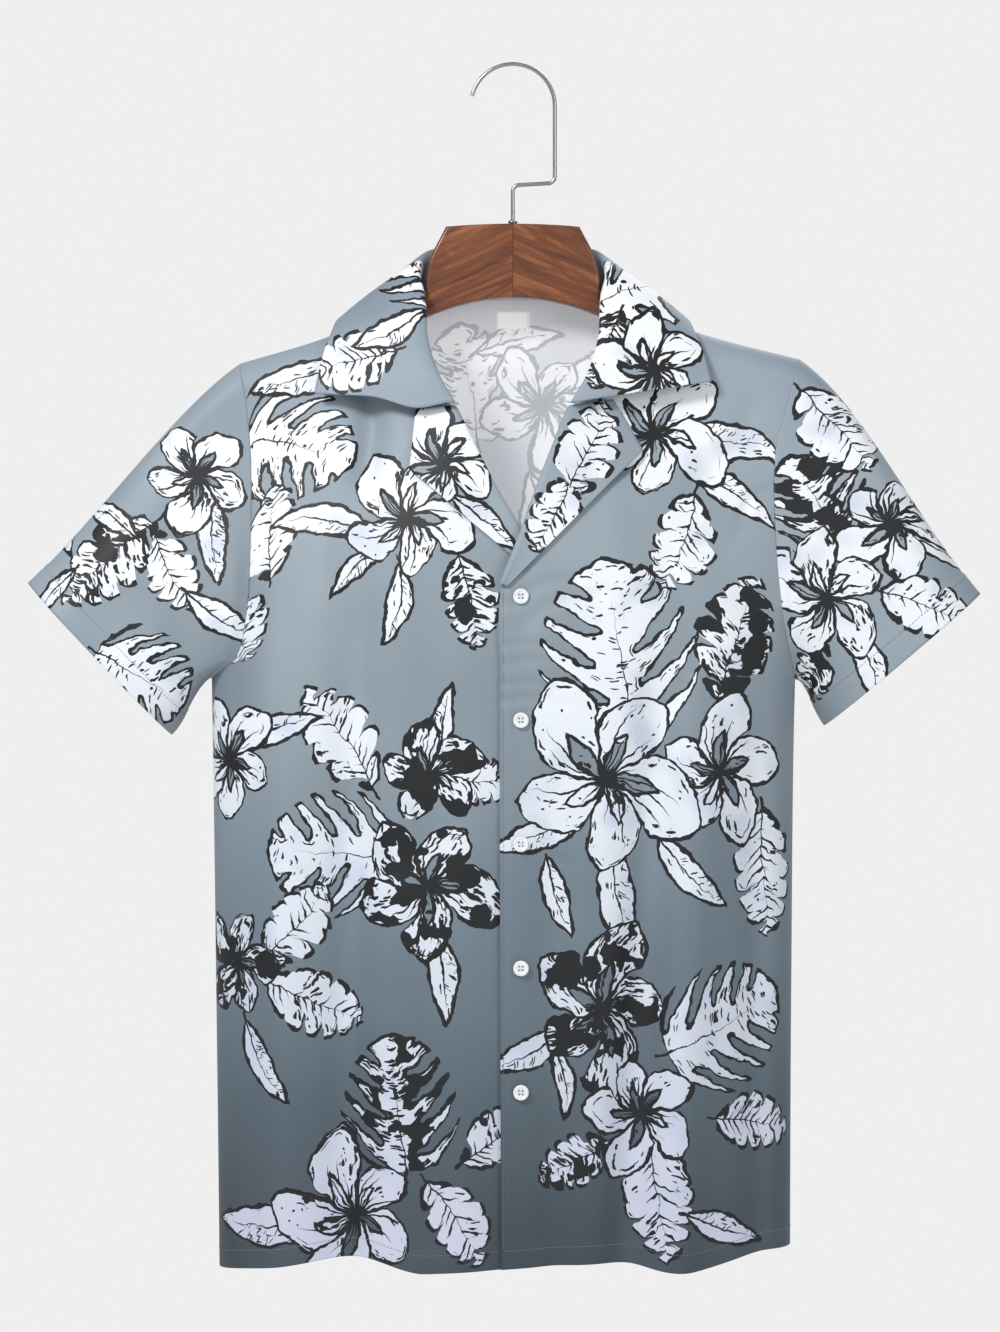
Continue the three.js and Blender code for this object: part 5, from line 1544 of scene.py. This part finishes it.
# Label: a small blank satin patch at the back neck, held by a row of stitches at each end
LABEL_WIDTH = 25
LABEL_HEIGHT = 13
LABEL_TOP_Z = -182
LABEL_LIFT = CLOTH_THICKNESS + 0.9  # from the back's outer face to the label
satin, satin_tree = empty_finish("white_satin_tape")
satin_place = add(satin_tree, "ShaderNodeTexCoord").outputs["Object"]
ribs = add(satin_tree, "ShaderNodeTexWave", {
    "Vector": satin_place, "Scale": 900.0,
}, bands_direction="Z")
ribbed = add(satin_tree, "ShaderNodeBump", {
    "Strength": 0.2, "Distance": 0.00008, "Height": ribs.outputs["Fac"],
})
# Painted light: the label glows faintly, so that it stays bright in the shade inside the neck.
satin_shader = add(satin_tree, "ShaderNodeBsdfPrincipled", {
    "Base Color": colour("FFFFFF"), "Roughness": 0.42, "Normal": ribbed.outputs[0],
    "Emission Color": colour("FFFFFF"), "Emission Strength": 0.22,
})
add(satin_tree, "ShaderNodeOutputMaterial", [satin_shader.outputs[0]])
label_x, label_z = np.meshgrid(
    np.linspace(-0.5, 0.5, 21) * LABEL_WIDTH,
    LABEL_TOP_Z - np.linspace(0, 1, 11) * LABEL_HEIGHT,
)
label_points = body_point(*body_place(label_x, label_z), 1, LABEL_LIFT)
label_points[..., 1] -= 0.5 * np.cos(np.pi * label_x / LABEL_WIDTH)
label, row, column = make_sheet("neck_label_patch", label_points, [satin], (0, 60, -188), 0.45)
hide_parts("neck_label")


# Stitches: rows of thread over the turned hems, along the front's edge and at the label
STITCH_PITCH = 2.9
STITCH_LENGTH = 2.3
THREAD_RADIUS = 0.24


def sew(name, rows, material):
    """One mesh of stitches along rows of points. Each row comes with the way its cloth faces."""
    sides, stations = 6, 5
    verts, faces = [], []
    turn = np.linspace(0, 2 * np.pi, sides, endpoint=False)
    for line, faced in rows:
        length = np.concatenate([[0], np.cumsum(np.linalg.norm(np.diff(line, axis=0), axis=1))])
        starts = np.arange(STITCH_PITCH / 2, length[-1] - STITCH_LENGTH, STITCH_PITCH)
        for start in starts:
            ends = [
                np.array([np.interp(at, length, line[:, c]) for c in range(3)])
                for at in (start, start + STITCH_LENGTH)
            ]
            out = np.array([np.interp(start, length, faced[:, c]) for c in range(3)])
            way = unit(ends[1] - ends[0])
            out = unit(out - way * out.dot(way))
            beside = np.cross(way, out)
            base = len(verts)
            for k, share in enumerate(np.linspace(0, 1, stations)):
                swell = math.sin(math.pi * share)
                centre = ends[0] + (ends[1] - ends[0]) * share + out * THREAD_RADIUS * (swell - 0.4)
                radius = THREAD_RADIUS * (0.45 + 0.55 * swell)
                for a in turn:
                    spoke = math.cos(a) * out + math.sin(a) * beside
                    verts.append(tuple((centre + radius * spoke) * MM))
            for k in range(stations - 1):
                for j in range(sides):
                    a, b = base + k * sides + j, base + k * sides + (j + 1) % sides
                    faces.append((a, b, b + sides, a + sides))
            faces.append(tuple(base + j for j in reversed(range(sides))))
            faces.append(tuple(base + (stations - 1) * sides + j for j in range(sides)))
    mesh = bpy.data.meshes.new(name)
    mesh.from_pydata(verts, [], faces)
    fix = bmesh.new()
    fix.from_mesh(mesh)
    bmesh.ops.recalc_face_normals(fix, faces=fix.faces)
    for face in fix.faces:
        face.smooth = True
    fix.to_mesh(mesh)
    fix.free()
    finished(bpy.data.objects.new(name, mesh), material)


def outward(points, face):
    """The way the cloth faces at a grid's points."""
    normals = unit(np.cross(np.gradient(points, axis=0), np.gradient(points, axis=1)))
    return np.where((normals[..., 1:2] * face) < 0, -normals, normals)


HEM_STITCH_ROW = 10
hem_rows = []
for points, face in [(front_places["left"], -1), (front_places["right"], -1), (back_points, 1)]:
    hem_rows.append((points[HEM_STITCH_ROW], outward(points, face)[HEM_STITCH_ROW]))
sew("hem_stitches", hem_rows, seam_thread)
cuff_rows = []
for points, inside in sleeve_grids:
    back_from_hem = (CUFF_DEPTH / HEM_DEPTH) * (HEM_DEPTH - HEM_STITCH_INSET)
    lengths = np.linalg.norm(points[-1] - points[0], axis=-1)
    at = SLEEVE_ROWS * (1 - back_from_hem / lengths)
    low = np.floor(at).astype(int)
    part = (at - low)[:, None]
    columns = np.arange(points.shape[1])
    line = points[low, columns] * (1 - part) + points[low + 1, columns] * part
    cuff_rows.append((line, unit(line - line.mean(axis=0)) * np.array([0.3, 1, 0.3])))
sew("cuff_stitches", cuff_rows, seam_thread)
EDGE_INSET = 2.4  # of a stitch row from the edge of the cloth
edge_z = np.linspace(-886, -396, 400)
edge_line = front_at(np.full(len(edge_z), PLACKET_EDGE_X + EDGE_INSET), edge_z)
to_viewer = np.array([[0.0, -1.0, 0.0]])
sew("placket_stitches", [(edge_line, to_viewer.repeat(len(edge_z), 0))], seam_thread)
label_ends = [
    (label_points[:, c] - [0, 0.05, 0], to_viewer.repeat(len(label_points), 0)) for c in (1, 19)
]
sew("label_stitches", label_ends, white_thread)


# Hanger: a contoured body of two mitred halves in stained walnut, with eased edges. Its middle
# block stands in the neck, and its arms run inside the shoulders and carry them.
WOOD_THICKNESS = 16
WOOD_EASE = 2.5
WOOD_TOP_Z = -118
UNDERSIDE_TURN_X = 110
UNDERSIDE_CREST_Z = -132
ARM_CLEARANCE = 3.8  # below the shoulder line, the cloth's wall counted in
ARM_HEIGHT = 20
# Right half of the outline down to the arm: across and height, and the point that a curve is
# drawn towards or nothing
block_outline = [
    ((50, -121), None), ((60, -140), None), ((65.6, -178), (65.6, -152)),
]
ARM_START_X = 88
ARM_CORNER_X = 184
ARM_END_X = 192
ARM_END_HEIGHT = 17


def drawn(start, toward, end, cuts):
    """Points of a curve from start to end, drawn towards a third point, without its start."""
    t = np.linspace(0, 1, cuts + 1)[1:, None]
    start, toward, end = (np.array(p, dtype=float) for p in (start, toward, end))
    return (1 - t) ** 2 * start + 2 * t * (1 - t) * toward + t**2 * end


def arm_top(x):
    return float(shoulder_line(x)) - ARM_CLEARANCE


def wood_half(side):
    points = []
    for (x, z), toward in block_outline:
        if toward:
            start = (abs(points[-1][0]), points[-1][1])
            points += [(side * px, pz) for px, pz in drawn(start, toward, (x, z), 12)]
        else:
            points.append((side * x, z))
    for x in np.linspace(ARM_START_X, ARM_CORNER_X, 14):
        points.append((side * x, arm_top(side * x)))
    end_z = points[-1][1]
    end_middle = (ARM_END_X, end_z - ARM_END_HEIGHT / 2 - 2)
    under = (ARM_END_X - 12, end_z - ARM_END_HEIGHT - 3)
    for start, toward, end in [
        ((ARM_CORNER_X, end_z), (ARM_END_X, end_z - 2), end_middle),
        (end_middle, (ARM_END_X, under[1]), under),
    ]:
        points += [(side * px, pz) for px, pz in drawn(start, toward, end, 8)]
    points.append((side * UNDERSIDE_TURN_X, arm_top(side * UNDERSIDE_TURN_X) - ARM_HEIGHT - 1))
    return points


right_half, left_half = wood_half(1), wood_half(-1)
top_arc = drawn(left_half[0], (0, WOOD_TOP_Z + 1.5), right_half[0], 24)[:-1]
under_arc = drawn(right_half[-1], (0, UNDERSIDE_CREST_Z), left_half[-1], 48)[:-1]
outline = [*top_arc, *right_half, *under_arc, *left_half[::-1]]
wood_bm = bmesh.new()
half_thickness = WOOD_THICKNESS / 2
front_verts = [wood_bm.verts.new((x * MM, -half_thickness * MM, z * MM)) for x, z in outline]
front_face = wood_bm.faces.new(front_verts)
pulled = bmesh.ops.extrude_face_region(wood_bm, geom=[front_face], use_keep_orig=True)
pulled_verts = [item for item in pulled["geom"] if isinstance(item, bmesh.types.BMVert)]
bmesh.ops.translate(wood_bm, verts=pulled_verts, vec=(0, WOOD_THICKNESS * MM, 0))
bmesh.ops.recalc_face_normals(wood_bm, faces=wood_bm.faces)
rim_edges = [
    edge for edge in wood_bm.edges
    if abs(edge.verts[0].co.y - edge.verts[1].co.y) < 1e-6
]
bmesh.ops.bevel(
    wood_bm, geom=rim_edges, offset=WOOD_EASE * MM, segments=4, profile=0.5, affect="EDGES",
    material=-1,
)
for face in wood_bm.faces:
    face.smooth = len(face.verts) < 8
wood_mesh = bpy.data.meshes.new("hanger_body")
wood_bm.to_mesh(wood_mesh)
wood_bm.free()

# Walnut stain under satin varnish. The two halves are book-matched: the grain runs down and
# outwards from the joint in the middle, with fine dark pores and broader light streaks.
GRAIN_SLOPE = math.radians(24)
walnut, walnut_tree = empty_finish("stained_walnut")
walnut_place = add(walnut_tree, "ShaderNodeTexCoord")
walnut_axes = add(walnut_tree, "ShaderNodeSeparateXYZ", [walnut_place.outputs["Object"]])
outwards = add(walnut_tree, "ShaderNodeMath", [walnut_axes.outputs["X"]], operation="ABSOLUTE")
half = add(walnut_tree, "ShaderNodeMath", [walnut_axes.outputs["X"]], operation="SIGN")
rise = add(walnut_tree, "ShaderNodeMath", [
    outwards.outputs[0], math.tan(GRAIN_SLOPE), walnut_axes.outputs["Z"],
], operation="MULTIPLY_ADD")
side_shift = add(walnut_tree, "ShaderNodeMath", [
    half.outputs[0], 0.7, walnut_axes.outputs["Y"],
], operation="MULTIPLY_ADD")
grain_place = add(walnut_tree, "ShaderNodeCombineXYZ", [
    outwards.outputs[0], side_shift.outputs[0], rise.outputs[0],
])
bands_place = add(walnut_tree, "ShaderNodeVectorMath", [
    grain_place.outputs[0], (11.0, 20.0, 105.0),
], operation="MULTIPLY")
bands = add(walnut_tree, "ShaderNodeTexNoise", {
    "Vector": bands_place.outputs[0], "Scale": 1.0, "Detail": 5.0, "Roughness": 0.62,
    "Distortion": 1.4,
})
wood_tone = add(walnut_tree, "ShaderNodeValToRGB", [bands.outputs[0]])
wood_ramp = wood_tone.color_ramp.elements
wood_ramp[0].position, wood_ramp[0].color = 0.3, colour("4F2A18")
wood_ramp[1].position, wood_ramp[1].color = 0.72, colour("A5673E")
middle_tone = wood_ramp.new(0.52)
middle_tone.color = colour("774326")
pores_place = add(walnut_tree, "ShaderNodeVectorMath", [
    grain_place.outputs[0], (60.0, 300.0, 1500.0),
], operation="MULTIPLY")
pores = add(walnut_tree, "ShaderNodeTexNoise", {
    "Vector": pores_place.outputs[0], "Scale": 1.0, "Detail": 2.0,
})
pore_share = add(walnut_tree, "ShaderNodeMapRange", [pores.outputs[0], 0.6, 0.72, 0.0, 0.5])
porous = add(walnut_tree, "ShaderNodeMix", {
    0: pore_share.outputs[0], 6: wood_tone.outputs[0], 7: colour("3A1B10"),
}, data_type="RGBA")
joint_near = add(
    walnut_tree, "ShaderNodeMath", [outwards.outputs[0], 0.0003], operation="LESS_THAN"
)
jointed = add(walnut_tree, "ShaderNodeMix", {
    0: joint_near.outputs[0], 6: porous.outputs[2], 7: colour("4A2416"),
}, data_type="RGBA")
walnut_bump = add(walnut_tree, "ShaderNodeBump", {
    "Strength": 0.15, "Distance": 0.0001, "Height": pores.outputs[0],
})
walnut_shader = add(walnut_tree, "ShaderNodeBsdfPrincipled", {
    "Base Color": jointed.outputs[2], "Roughness": 0.38, "Coat Weight": 0.25, "Coat Roughness": 0.22,
    "Normal": walnut_bump.outputs[0],
})
add(walnut_tree, "ShaderNodeOutputMaterial", [walnut_shader.outputs[0]])
finished(bpy.data.objects.new("hanger_body", wood_mesh), walnut, "hanger_wood")

# Bright drawn steel: polished lengthwise, so its highlights are clean and narrow
steel, steel_tree = empty_finish("drawn_steel")
steel_place = add(steel_tree, "ShaderNodeTexCoord").outputs["Object"]
steel_haze = add(steel_tree, "ShaderNodeTexNoise", {
    "Vector": steel_place, "Scale": 220.0, "Detail": 2.0,
})
steel_rough = add(steel_tree, "ShaderNodeMapRange", [steel_haze.outputs[0], 0.3, 0.7, 0.24, 0.36])
steel_shader = add(steel_tree, "ShaderNodeBsdfPrincipled", {
    "Base Color": colour("A9ABAE"), "Metallic": 1.0, "Roughness": steel_rough.outputs[0],
})
add(steel_tree, "ShaderNodeOutputMaterial", [steel_shader.outputs[0]])

# Ferrule: a small turned collar where the wire enters the wood
ferrule_profile = [
    (1.55, 0), (3.6, 0), (3.6, 0.9), (3.35, 1.5), (2.8, 1.95), (2.2, 2.2), (1.55, 2.25),
]
ferrule = turned("ferrule", ferrule_profile, 40)
ferrule.transform(Matrix.Translation((0, 0, (WOOD_TOP_Z + 0.1) * MM)))
finished(bpy.data.objects.new("hook_ferrule", ferrule), steel, "hanger_ferrule")

# Hook: round wire over the arc, down its straight side, back along the jog and into the wood
WIRE_RADIUS = 1.5
HOOK_RADIUS = 31.5
JOG_BEND = 5
JOG_Z = -88.6
JOG_DROP = 1.2
HOOK_TIP_ANGLE = 166


def arc(centre_x, centre_z, radius, start, end, cuts):
    angles = np.radians(np.linspace(start, end, cuts + 1))
    return [(centre_x + radius * math.cos(a), centre_z + radius * math.sin(a)) for a in angles]


lower = JOG_BEND + JOG_DROP / 2
wire_line = [
    *arc(0, WIRE_RADIUS - HOOK_RADIUS, HOOK_RADIUS, HOOK_TIP_ANGLE, 0, 72),
    *arc(HOOK_RADIUS - JOG_BEND, JOG_Z + lower, JOG_BEND, 0, -86, 18),
    *arc(JOG_BEND, JOG_Z - lower, JOG_BEND, 94, 180, 18),
    (0, WOOD_TOP_Z + 0.3),
]
wire_curve = bpy.data.curves.new("hook", "CURVE")
wire_curve.dimensions = "3D"
wire_curve.bevel_depth = WIRE_RADIUS * MM
wire_curve.bevel_resolution = 6
wire_curve.use_fill_caps = True
wire_spline = wire_curve.splines.new("POLY")
wire_spline.points.add(len(wire_line) - 1)
for point, (x, z) in zip(wire_spline.points, wire_line):
    point.co = (x * MM, 0, z * MM, 1)
wire_draft = bpy.data.objects.new("hook_draft", wire_curve)
bpy.context.collection.objects.link(wire_draft)
settled = bpy.context.evaluated_depsgraph_get()
wire_mesh = bpy.data.meshes.new_from_object(wire_draft.evaluated_get(settled))
bpy.data.objects.remove(wire_draft)
for polygon in wire_mesh.polygons:
    polygon.use_smooth = True
finished(bpy.data.objects.new("hook_wire", wire_mesh), steel, "hanger_hook")
